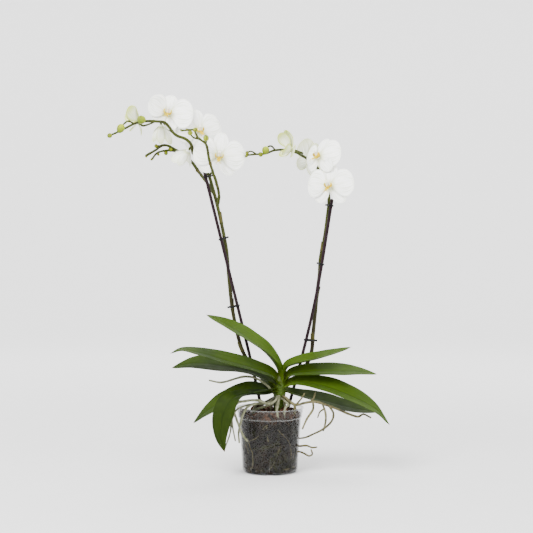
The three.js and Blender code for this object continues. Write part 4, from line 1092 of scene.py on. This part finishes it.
# %% Scales and buds
def scale_leaf(shape, stem, radius, start, reach, turn):
    """A papery scale that wraps a joint of the spike and stands off at its tip."""
    def place(t, v):
        centre, direction = curve_at(stem, start + t[:, 0] * reach)
        side, up = frames_along(direction)
        angle = turn + v * 2.0 * np.maximum(1 - t, 0.03) ** 0.6
        out = radius + 0.45 + 1.4 * t**2
        ring = side[:, None] * np.cos(angle)[..., None] + up[:, None] * np.sin(angle)[..., None]
        return centre[:, None] + ring * out[..., None], ring, np.full_like(t, 0.5)
    blade(shape, 10, 11, place, tone=1.0)


def bud(shape, at, radius, stretch, towards):
    """An egg with three seams where its sepals meet."""
    rows, columns = 17, 30
    axis = unit(np.array(towards, float))
    side = unit(np.cross(axis, [0.31, 0.9, 0.3]))
    up = np.cross(axis, side)
    theta = np.linspace(0.05, math.pi - 0.05, rows)[:, None]
    phi = (2 * np.pi * np.arange(columns) / columns)[None]
    seam = np.exp(-(np.minimum(np.abs(np.sin(1.5 * phi)), 1) / 0.22) ** 2) * np.sin(theta) ** 0.5
    swell = radius * (1 - 0.09 * seam) * (1 - 0.10 * np.cos(theta))
    long = radius * stretch * (1 + 0.04 * np.cos(theta) ** 4)
    ring = side * np.cos(phi)[..., None] + up * np.sin(phi)[..., None]
    points = np.array(at) + ring * (swell * np.sin(theta))[..., None]
    points = points + axis * (long * np.cos(theta))[..., None]
    small = float(np.interp(radius, [3, 6], [1, 0]))
    marks = np.stack(np.broadcast_arrays((1 - np.cos(theta)) / 2, seam, small), -1)
    faces = grid_faces(rows, columns, ring=True)
    faces += [list(range(columns)), list(range(rows * columns - 1, (rows - 1) * columns - 1, -1))]
    shape.add(points.reshape(-1, 3), marks.reshape(-1, 3), [face[::-1] for face in faces])


print("widest bud:", 2 * max(each["radius"] for s in SPIKES.values() for each in s["buds"]), "mm")


# %% How a flower holds its tepals and where it stands
def open_pose(petals, upper, lower, width=1, lip=(1, 1, 1), curl=-10):
    """The usual five tepals. Each is its kind, angle round the flower, sweep, width and length."""
    return {
        "tepals": [
            ("upper", 90, upper, width, 1),
            ("lower", 224, lower, width, 1), ("lower", 316, lower, width, 1),
            ("petal", 12, petals[0], width, 1), ("petal", 168, petals[1], width, 1),
        ],
        "lip": lip, "curl": curl,
    }


POSES = {
    "OPEN": open_pose([-10, -10], -10, -10),
    "REFLEXED": {
        "tepals": [
            ("upper", 90, -24, 1, 1), ("lower", 224, -8, 0.85, 0.85), ("lower", 316, -8, 1, 1),
            ("petal", 12, -16, 1.05, 1), ("petal", 168, -14, 0.8, 0.75),
        ],
        "lip": (1, 1, 1), "curl": -10,
    },
    "TURNED_AWAY": open_pose([-38, -10], -10, -10),
    "CUPPED": open_pose([60, 60], 58, 58, 0.7, (0.4, 0.55, 1), 30),
    "DISHED": {
        "tepals": [
            ("upper", 92, -14, 1.05, 0.92), ("lower", 224, 28, 0.9, 0.8), ("lower", 300, 10, 0.8, 0.85),
            ("petal", 12, 4, 1.08, 1), ("petal", 166, 32, 0.85, 0.9),
        ],
        "lip": (1, 1, 1), "curl": 10,
    },
    "NODDING": {
        "tepals": [
            ("upper", 90, 58, 0.72, 0.95), ("lower", 224, 62, 0.8, 0.95), ("lower", 316, 62, 0.8, 0.95),
            ("petal", 28, 60, 0.5, 1.05), ("petal", 152, 60, 0.5, 0.9),
        ],
        "lip": (0.4, 0.55, 1), "curl": 55,
    },
    "HALF_OPEN": {
        "tepals": [
            ("upper", 90, 54, 1.0, 0.74), ("lower", 305, 5, 1.0, 0.75), ("lower", 250, -55, 0.5, 0.8),
            ("petal", 20, 56, 0.7, 0.95), ("petal", 168, 62, 0.66, 0.85),
        ],
        "lip": (0.45, 0.55, 1), "curl": 45,
    },
    "OPENING": {
        "tepals": [
            ("upper", 84, 36, 1.05, 0.9), ("lower", 232, 50, 0.75, 0.65), ("lower", 336, 30, 1.0, 0.75),
            ("petal", -34, 66, 0.55, 0.75), ("petal", 112, 40, 0.62, 0.85),
        ],
        "lip": (0.6, 0.7, 1), "curl": 35,
    },
}
HUB = {"back": -6, "front": 2.5, "claws": 3.6}


def standing(at, turn, tip, roll, size, pose):
    """A function that takes points in a flower's own axes (z towards its face) to the plant's."""
    turn, tip, roll = map(math.radians, (turn, tip, roll))
    out = np.array([math.sin(turn) * math.cos(tip), -math.cos(turn) * math.cos(tip), math.sin(tip)])
    right = unit(np.cross([0, 0, 1], out))
    basis = np.stack([right, np.cross(out, right), out])
    c, s = math.cos(roll), math.sin(roll)
    spun = np.array([[c, s, 0], [-s, c, 0], [0, 0, 1]])
    return lambda points: (np.asarray(points, float) * size) @ spun @ basis + np.array(at, float)


print("poses of flowers:", len(POSES))


# %% Two spikes with their scales, shoots and flower stalks
def nearest(stem, point):
    """The point of a stem that is nearest to a given one."""
    at, _ = curve_at(stem, np.linspace(0, 1, 400))
    return at[np.argmin(np.linalg.norm(at - np.array(point), axis=1))]


LONG_SHOOT = 60
for name, values in SPIKES.items():
    shoots, buds = Shape(), Shape()
    radii = [r + FULLER["spike"] for r in values["radii"]]
    rod(shoots, values["stem"], radii, 16, 2.0, tone=0.0, knobs=0.03, seed=8)
    for i, node in enumerate(values["nodes"]):
        radius = float(np.interp(node, np.linspace(0, 1, len(values["radii"])), values["radii"]))
        joint, _ = curve_at(values["stem"], [node - 0.006, node, node + 0.006])
        rod(shoots, joint, [radius, radius + 0.7, radius], 16, 0.8, tone=0.5)
        scale_leaf(shoots, values["stem"], radius, node, 0.03, 1.2 + 2.6 * i)
    for branch in values["branches"]:
        radii = [r + FULLER["shoot"] for r in branch["radii"]]
        rod(shoots, branch["path"], radii, 14, 1.2, knobs=0.16, seed=11)
        if length_of(branch["path"]) > LONG_SHOOT:
            for start in (0.3, 0.6):
                scale_leaf(shoots, branch["path"], branch["radii"][0], start, 0.05, 3 * start)
    lines = [values["stem"]] + [branch["path"] for branch in values["branches"]]
    for each in values["buds"]:
        feet = [nearest(line, each["at"]) for line in lines]
        foot = min(feet, key=lambda p: np.linalg.norm(p - each["at"]))
        away = np.array(each["at"]) - foot
        bud(buds, towards=away if np.linalg.norm(away) > 1 else [0, 0, 1], **each)
    for flower, stalk in PEDICELS.items():
        if flower.split("_")[1] == name.split("_")[1]:
            place, size = standing(**FLOWERS[flower]), FLOWERS[flower]["size"]
            path = [nearest(values["stem"], stalk["from"])] + stalk["by"]
            path += [place([0, 0, HUB["back"] - d / size]) for d in (7, 0.3)]
            rod(shoots, path, [2, 1.8, 1.7, 2.2], 12, 1.2, tone=0.25, knobs=0.04, seed=5)
    shoots.piece(name + "_fine", spike_finish.material, "stem_green", [name])
    buds.piece(name + "_buds", bud_finish.material, "stem_green")
    print(name, "has", len(values["buds"]), "buds and", len(values["branches"]), "side shoots")

# %% Two stakes
for name, path in STAKES.items():
    stick = Shape()
    rod(stick, path, [STAKE_RADIUS + FULLER["stake"]], 20, 6.0, tone=0.0, seed=2)
    stick.piece(name + "_fine", stake_finish.material, "stake_purple", [name])
    print(name, "is", round(length_of(path)), "mm long")

# %% [markdown]
# ## Clips
#
# Small spring clips hold each spike to its stake: a band round both rods and two finger grips to open
# it. They are nearly black, so what shows is their outline and a small highlight. The band is a blade
# that runs round both rods, which gives its edges a soft bevel.

# %% Clip finish
clip_finish = Finish("clip_black", specular_ior_level=0.1)
moulded = clip_finish.noise(clip_finish.place((0.6, 0.6, 0.6)), detail=3)
clip_finish.colour(clip_finish.mix(moulded, paint(6, 6, 7), paint(20, 19, 21)))
clip_finish.rough(moulded, 0.42, 0.62)
clip_finish.bump(moulded, 0.1, 0.4)
print("clip finish:", len(clip_finish.nodes), "nodes")

# %% Six clips
CLIP = {"gap": 0.6, "thick": 1.3, "half_height": 1.6, "grip": 5.6, "grip_thick": 1.1}
CLIPS = {
    "clip_left_low": ("spike_left", "stake_left", 295),
    "clip_left_middle": ("spike_left", "stake_left", 418),
    "clip_left_top": ("spike_left", "stake_left", 530),
    "clip_right_low": ("spike_right", "stake_right", 233),
    "clip_right_middle": ("spike_right", "stake_right", 372),
    "clip_right_top": ("spike_right", "stake_right", 478),
}


def at_height(path, height):
    """Where a path passes a height."""
    at, _ = curve_at(path, np.linspace(0, 1, 600))
    return at[np.argmin(np.abs(at[:, 2] - height))]


for name, (spike, stake, height) in CLIPS.items():
    stem_at, rod_at = at_height(SPIKES[spike]["stem"], height), at_height(STAKES[stake], height)
    axis = unit(np.array(STAKES[stake][-1], float) - np.array(STAKES[stake][-2], float))
    spread = rod_at - stem_at
    spread[2] = 0
    reach = np.linalg.norm(spread) / 2
    right = unit(spread - axis * np.dot(spread, axis))
    back = np.cross(axis, right)
    middle = (stem_at + rod_at) / 2
    round_way = STAKE_RADIUS + CLIP["gap"] + CLIP["thick"] / 2

    def band(t, v):
        """Round both rods: half a turn, a straight, half a turn and back, left open at the grips."""
        knots = [0, 0.06, 0.44, 0.56, 0.94, 1]
        turn = np.interp(t, knots, [0.03, 0.5, 0.5, 1.5, 1.5, 1.97]) * math.pi + math.pi
        shift = np.interp(t, knots, [-1, -1, 1, 1, -1, -1]) * reach
        spoke = right * np.cos(turn)[..., None] + back * np.sin(turn)[..., None]
        at = middle + right * shift[..., None] + spoke * round_way
        at = at + axis * (v * CLIP["half_height"])[..., None]
        return at, spoke, np.full_like(t, CLIP["thick"])

    def grip(way):
        """One of the two fingers that open the clip, which lean away from each other."""
        def place(t, v):
            start = middle - right * (reach + round_way - CLIP["gap"])
            lift = way * (CLIP["gap"] + 1.2 * t + 1.5 * t**2)
            at = start - right * (CLIP["grip"] * t)[..., None] + back * lift[..., None]
            at = at + axis * (v * (1.5 + 0.4 * t))[..., None]
            normal = unit(back * way + right * (0.35 + 0.4 * t)[..., None])
            return at, normal, np.full_like(t, CLIP["grip_thick"])
        return place

    clip = Shape()
    blade(clip, 60, 7, band)
    for way in (-1, 1):
        blade(clip, 14, 7, grip(way))
    clip.piece(name + "_fine", clip_finish.material, "clip_black", [name])
print("clips:", len(CLIPS))

# %% [markdown]
# ## Flowers
#
# A moth orchid's flower has three sepals behind, two wide round petals in front of them and a small
# three-lobed lip below a short column. Sculpting one and copying it would make them twins, and the ones
# at the end of a spike are still half closed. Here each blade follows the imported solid's rule (a sweep
# forward or back, and a bend across), with its own slow ripples from a seed, so each is a little
# different.

# %% Petal finish
petal_finish = Finish("petal_white", specular_ior_level=0.3, subsurface_weight=0.25, sheen_weight=0.08)
petal_finish.shader.inputs["Sheen Roughness"].default_value = 0.4
petal_finish.shader.inputs["Subsurface Radius"].default_value = (1.0, 0.95, 0.8)
petal_finish.shader.inputs["Subsurface Scale"].default_value = 0.0015
along, across, tone = petal_finish.mark()
veins = petal_finish.noise(petal_finish.mark((1.4, 11, 7)), detail=3, distortion=0.5)
fine = petal_finish.noise(petal_finish.place((0.5, 0.5, 0.5)), detail=4)
out = petal_finish.maths("ABSOLUTE", across)
white, veined = paint(247, 247, 244, 1), paint(208, 212, 198, 1)
shade = petal_finish.mix(petal_finish.between(veins, 0.38, 0.72), white, veined)
# Petal edges are painted a little darker: painted shade that parts overlapping petals.
rim = petal_finish.between(petal_finish.maths("MAXIMUM", out, along), 0.86, 1.0)
shade = petal_finish.mix(petal_finish.maths("MULTIPLY", rim, 0.3), shade, paint(176, 182, 160, 1))
rib = petal_finish.between(out, 0.1, 0.0)
rib = petal_finish.maths("MULTIPLY", rib, petal_finish.between(along, 0.95, 0.2))
shade = petal_finish.mix(petal_finish.maths("MULTIPLY", rib, 0.35), shade, paint(184, 192, 158, 1))
base = petal_finish.between(along, 0.28, 0.0)
shade = petal_finish.mix(petal_finish.maths("MULTIPLY", base, 0.7), shade, paint(170, 178, 104, 1))
edge = petal_finish.between(petal_finish.maths("MAXIMUM", out, along), 0.5, 0.95)
edge = petal_finish.maths("MULTIPLY_ADD", edge, 0.55, 0.28)
# A yellow-green tint, strongest at the edges: the colour of young flowers, and painted shade on the flowers
# that face away.
young_and_shaded = petal_finish.maths("MULTIPLY", petal_finish.between(tone, 0.1, 0.9), edge)
shade = petal_finish.mix(young_and_shaded, shade, paint(166, 180, 6, 1))
petal_finish.colour(shade)
petal_finish.rough(fine, 0.42, 0.62)
petal_finish.bump(petal_finish.maths("MULTIPLY_ADD", veins, 0.9, fine), 0.22, 0.5)
print("petal finish:", len(petal_finish.nodes), "nodes")

# %% Lip finish
lip_finish = Finish("lip_yellow", specular_ior_level=0.2, subsurface_weight=0.2)
lip_finish.shader.inputs["Subsurface Scale"].default_value = 0.0015
along, across, tone = lip_finish.mark()
fine = lip_finish.noise(lip_finish.mark((3, 9, 5)), detail=4)
yellow = lip_finish.mix(lip_finish.between(fine, 0.45, 0.7), paint(236, 200, 0), paint(228, 166, 0))
pale = lip_finish.mix(lip_finish.between(fine, 0.5, 0.8), paint(250, 228, 0), paint(242, 206, 0))
edge = lip_finish.maths("MAXIMUM", lip_finish.maths("ABSOLUTE", across), along)
shade = lip_finish.mix(lip_finish.between(edge, 0.7, 1.0), yellow, pale)
shade = lip_finish.mix(lip_finish.between(tone, 0.45, 0.75), shade, paint(236, 226, 220, 1))
lip_finish.colour(shade)
lip_finish.rough(fine, 0.38, 0.6)
lip_finish.bump(fine, 0.2, 0.5)
print("lip finish:", len(lip_finish.nodes), "nodes")

# %% Sepals and petals
SEPAL = {"half": 14, "claw": 0.3, "layer": -1.3, "wave": 0.6, "tip": -10.8, "columns": 17}
TEPALS = {
    "upper": {**SEPAL, "length": 42, "widest": 0.52},
    "lower": {**SEPAL, "length": 38, "widest": 0.55},
    "petal": {
        "length": 44, "half": 27, "claw": 0.12, "widest": 0.55, "layer": 1.3, "wave": 1.0, "tip": -15.6,
        "columns": 25,
    },
}


def tepal(shape, kind, angle, sweep, width, length, curl, place_flower, tone, seed):
    """One sepal or petal at an angle round the flower, swept forward (+) or back (-), with a curl."""
    values = TEPALS[kind]
    claw, widest, long = values["claw"], values["widest"], values["length"] * length
    angle, sweep, curl = math.radians(angle), math.radians(sweep), math.radians(curl)
    direction = np.array([math.cos(angle), math.sin(angle), 0])
    side = np.array([-direction[1], direction[0], 0])
    face = np.array([0, 0, 1.0])

    def place(t, v):
        outline = np.where(
            t < widest, claw + (1 - claw) * np.sin(np.pi / 2 * np.minimum(t / widest, 1)),
            np.sqrt(np.maximum(1 - ((t - widest) / (1 - widest)) ** 2, 0)),
        )
        half = values["half"] * width * np.maximum(outline, 0.03)
        half = half * (1 + 0.035 * ripple(0.6 * t + 0.15 * np.sign(v), seed, (1, 3, 5)))
        rise = sweep + curl * (t - 0.5)
        reach = long * (np.sin(rise) - math.sin(sweep - curl / 2)) / curl
        ahead = long * (math.cos(sweep - curl / 2) - np.cos(rise)) / curl
        bend_radius = (HUB["claws"] + reach) / (math.sin(sweep) or 1e-9)
        bend_radius = np.sign(bend_radius) * np.hypot(bend_radius, 1.1 * values["half"] * width)
        bend = v * half / bend_radius
        along_side = bend_radius * np.sin(bend)
        lift = bend_radius * (1 - np.cos(bend)) + values["layer"]
        wave = values["wave"] * ripple(0.5 * t + 0.25 * v, seed, (1, 2, 4)) * (0.2 + 0.9 * v**2)
        wave = wave * np.sin(np.pi * np.minimum(t, 0.92)) ** 0.7
        tip_curl = values["tip"] * np.maximum(t - 0.72, 0) ** 2
        tip_curl = tip_curl * (0.5 + 0.5 * ripple(v * 0.3, seed + 3, (1, 2)))
        crease = -0.5 * np.exp(-(v / 0.07) ** 2) * np.sin(np.pi * t)
        lift = lift + wave + tip_curl + crease
        inward = face * np.cos(rise)[..., None] - direction * np.sin(rise)[..., None]
        middle = direction * (HUB["claws"] + reach)[..., None] + face * ahead[..., None]
        middle = middle + side * along_side[..., None] + inward * lift[..., None]
        middle = place_flower(middle)
        return middle, facing_of(middle), 0.9 - 0.35 * np.maximum(np.abs(v), t) ** 3
    blade(shape, 34, values["columns"], place, tone)


print("a petal is", 2 * TEPALS["petal"]["half"], "mm wide, a sepal", 2 * SEPAL["half"])


# %% The lip and the column
LIP_BEND, LIP_TURN, LIP_PLACE = 13, math.radians(123), np.array([0, -2.6, 4.6])
SIDE_LOBE = [[1.6, -3.4, 5.2], [5.2, -3.2, 6.4], [7.6, 0.2, 7.6], [7.2, 4.4, 8.6]]
TENDRIL = [[0.5, 14.6, 0], [1.6, 16.6, -0.2], [2.9, 18.6, 0.2], [3.9, 19.2, 1.5], [4.0, 18.4, 2.8]]
CALLUS = [[0.9, 2.2, 0.2], [1.1, 4.2, 1.8], [1.0, 5.4, 0.4]]
TONGUE = {"at": [0, 3, 6, 8.5, 10.8, 13, 15.5], "half": [2.6, 2.7, 2.6, 3.9, 4.4, 3.2, 1.0]}
NECK = [[0, -1.6, 2.0], [0, -2.4, 4.4], [0, -2.2, 6.6]]
COLUMN = [[0, 0.2, 1.5], [0, 0.5, 6], [0, 3.2, 9], [0, 6, 11.5]]
CAP = [[0, 5.2, 11.6], [0, 6.3, 12.8], [0, 6.2, 13.6]]


def mirrored(points, way):
    """The points as they are for way 1 and on the other side for way -1."""
    return [[x * way, y, z] for x, y, z in points]


def on_lip(points, scale):
    """Points on the flat lip (x, y, height) bent round, tipped forward and put under the column."""
    x, y, h = np.moveaxis(np.asarray(points, float), -1, 0)
    bend, radius = x / LIP_BEND, LIP_BEND + h
    bent = np.stack([radius * np.sin(bend), y, radius * np.cos(bend) - LIP_BEND], -1)
    c, s = math.cos(LIP_TURN), math.sin(LIP_TURN)
    turned = bent @ np.array([[1, 0, 0], [0, c, s], [0, -s, c]]) + LIP_PLACE
    return turned * np.array(scale)


def lip(shape, place_flower, scale, tone):
    """Two side lobes, a pointed middle lobe with two tendrils, and two bumps and a neck in between."""
    bent_at = lambda points: place_flower(on_lip(points, scale))

    def lobe(way):
        """A side lobe: out from the lip's foot, then up beside the column, hollow towards it."""
        def place(t, v):
            spine, _ = curve_at(mirrored(SIDE_LOBE, way), t[:, 0])
            half = 4.5 * np.sin(np.pi * (0.12 + 0.8 * t)) ** 0.7
            hollow = np.stack([-way * 1.6 * v**2, 0.4 * v**2, v * half], -1)
            middle = place_flower((spine[:, None] + hollow) * np.array(scale))
            return middle, facing_of(middle), 0.9 - 0.3 * t
        return place

    def tongue(t, v):
        """The middle lobe, flat before it is bent."""
        y = TONGUE["at"][-1] * t
        half = np.interp(y, TONGUE["at"], TONGUE["half"])
        flat = np.stack([v * half, y, -0.9 * v**2 + 0.5 * np.exp(-(v / 0.2) ** 2)], -1)
        middle = bent_at(flat)
        return middle, facing_of(middle), 1.2 - 0.4 * t

    for way in (-1, 1):
        blade(shape, 18, 13, lobe(way), tone)
        rod(shape, bent_at(mirrored(TENDRIL, way)), [0.6, 0.5, 0.3], 8, 0.6, tone=tone)
        rod(shape, bent_at(mirrored(CALLUS, way)), [0.9, 1.1, 0.7], 10, 0.5, tone=tone)
    blade(shape, 24, 11, tongue, tone)
    rod(shape, place_flower(np.array(NECK) * np.array(scale)), [2.3, 2.5, 1.9], 14, 0.8, tone=tone)


def column(shape, place_flower, scale):
    """The short white column with its cap above the lip."""
    column_at, cap_at = (place_flower(np.array(line) * np.array(scale)) for line in (COLUMN, CAP))
    rod(shape, column_at, [2.4, 2.1, 2.2, 2.7], 18, 0.7, tone=1.0)
    rod(shape, cap_at, [2.3, 2.0, 1.1], 16, 0.5, tone=0.62)


print("a lip's middle lobe is", TONGUE["at"][-1], "mm long")

# %% Ten flowers
# Half-open and opening flowers get the tint as young ones; the nodding, cupped and turned-away ones get it
# as painted shade.
YOUNG_AND_SHADED = {"HALF_OPEN": 0.9, "OPENING": 0.9, "NODDING": 0.55, "CUPPED": 0.4, "TURNED_AWAY": 0.5}
for i, (name, values) in enumerate(FLOWERS.items()):
    pose, place_flower = POSES[values["pose"]], standing(**values)
    tone = YOUNG_AND_SHADED.get(values["pose"], 0.0)
    petals, lips = Shape(), Shape()
    for j, (kind, angle, sweep, width, length) in enumerate(pose["tepals"]):
        tepal(petals, kind, angle, sweep, width, length, pose["curl"], place_flower, tone, 10 * i + j)
    hub = [[0, 0, height] for height in (HUB["back"], -3, 0, HUB["front"])]
    rod(petals, place_flower(hub), [1.9, 3.2, 4.4, 3.4], 20, 0.7, tone=tone)
    petals.piece(name + "_bloom", petal_finish.material, "petal_white", [name + "_petals"])
    lip(lips, place_flower, pose["lip"], tone=0.1)
    column(lips, place_flower, pose["lip"])
    lips.piece(name + "_heart", lip_finish.material, "lip_yellow", [name + "_lip"])
print("flowers:", len(FLOWERS))

# %% [markdown]
# ## Studio
#
# The plant stands on a plain pale sweep in soft, even light, so its own colours carry the picture. One
# round sheet that curves up on every side gives a floor and a backdrop without a corner, from wherever
# one looks. It glows a little far from the plant, as the lit walls of a studio do. Three large lamps
# fill the shadows, the strongest from above and a little to the left.

# %% Floor and backdrop
sweep_finish = Finish("paper_white", specular_ior_level=0.1, roughness=0.9)
fibre = sweep_finish.noise(sweep_finish.place((0.02, 0.02, 0.02)), detail=4)
sweep_finish.colour(sweep_finish.mix(fibre, (0.62, 0.62, 0.62, 1), (0.65, 0.65, 0.65, 1)))
squares = [sweep_finish.node("SeparateXYZ", i0=sweep_finish.place(), output=i) for i in (0, 1)]
squares = [sweep_finish.maths("MULTIPLY", each, each) for each in squares]
away = sweep_finish.maths("SQRT", sweep_finish.maths("ADD", *squares))
sweep_finish.set(sweep_finish.shader.inputs["Emission Color"], (1, 1, 1, 1))
sweep_finish.set(sweep_finish.shader.inputs["Emission Strength"], sweep_finish.between(away, 300, 2600))
print("paper finish:", len(sweep_finish.nodes), "nodes")

# %% The sweep itself, in metres
PAPER = {"flat": 4.2, "bend": 1.8, "top": 6.0, "under": 0.0005, "sides": 120}
line = [(0.01, 0.0), (1.0, 0.0), (2.5, 0.0)]
for angle in np.linspace(0, math.pi / 2, 24):
    line.append((PAPER["flat"] + PAPER["bend"] * math.sin(angle), PAPER["bend"] * (1 - math.cos(angle))))
line.append((PAPER["flat"] + PAPER["bend"], PAPER["top"]))
turns = 2 * np.pi * np.arange(PAPER["sides"]) / PAPER["sides"]
points = [(r * math.cos(turn), r * math.sin(turn), z - PAPER["under"]) for r, z in line for turn in turns]
paper_faces = grid_faces(len(line), PAPER["sides"], ring=True) + [list(range(PAPER["sides"]))]
paper_mesh = bpy.data.meshes.new("paper_sweep")
paper_mesh.from_pydata(points, [], paper_faces)
paper_mesh.materials.append(sweep_finish.material)
paper_mesh.shade_smooth()
paper = bpy.data.objects.new("paper_sweep", paper_mesh)
bpy.context.scene.collection.objects.link(paper)
paper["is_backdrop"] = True
print("paper sweep:", 2 * (PAPER["flat"] + PAPER["bend"]), "m across")

# %% Light
world = bpy.data.worlds.new("soft_room")
world.use_nodes = True
world.node_tree.nodes["Background"].inputs["Color"].default_value = (1, 1, 1, 1)
world.node_tree.nodes["Background"].inputs["Strength"].default_value = 1.5
bpy.context.scene.world = world


def lamp(name, place, target, size, power):
    """A large soft lamp at a place in metres, which points at a target."""
    light = bpy.data.lights.new(name, "AREA")
    light.size, light.energy = size, power
    made = bpy.data.objects.new(name, light)
    bpy.context.scene.collection.objects.link(made)
    made.location = place
    aim = np.array(target, float) - np.array(place, float)
    made.rotation_euler = Vector(aim).to_track_quat("-Z", "Y").to_euler()


LAMPS = {
    "lamp_key": {"place": (-1.2, -1.6, 2.2), "target": (0, 0, 0.4), "size": 1.4, "power": 175},
    "lamp_fill": {"place": (1.7, -1.7, 1.2), "target": (0, 0, 0.3), "size": 1.6, "power": 44},
    "lamp_back": {"place": (0.4, 1.2, 2.0), "target": (0, 0, 0.4), "size": 1.2, "power": 42},
}
for name, values in LAMPS.items():
    lamp(name, **values)
print("lamps:", len(LAMPS))

# %% [markdown]
# ## Camera
#
# The picture is taken level and straight on, from a little above the leaves and roughly two metres away,
# with a long lens. That is why the pot's rim shows as a thin ellipse and the leaves are seen from the
# side. The lens follows from the distance and from how wide a strip of the plant's own plane is seen.

# %% The photograph's viewpoint
VIEW = {"across": -6.3, "distance": 1900, "height": 367.4, "width_seen": 959.4, "sensor": 36}
camera_data = bpy.data.cameras.new("camera")
camera_data.sensor_width = VIEW["sensor"]
camera_data.lens = VIEW["sensor"] * VIEW["distance"] / VIEW["width_seen"]
camera = bpy.data.objects.new("camera", camera_data)
bpy.context.scene.collection.objects.link(camera)
camera.location = [0.001 * VIEW["across"], -0.001 * VIEW["distance"], 0.001 * VIEW["height"]]
camera.rotation_euler = (math.pi / 2, 0, 0)
bpy.context.scene.camera = camera
print("lens:", round(camera_data.lens, 1), "mm")

# %% Compare the sizes and finish
visual_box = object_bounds()
boxes = {"cad": [list(corner) for corner in cad_box], "visual": [list(corner) for corner in visual_box]}
for key, (low, high) in boxes.items():
    print(key, "box:", [round(1000 * (b - a)) for a, b in zip(low, high)], "mm")
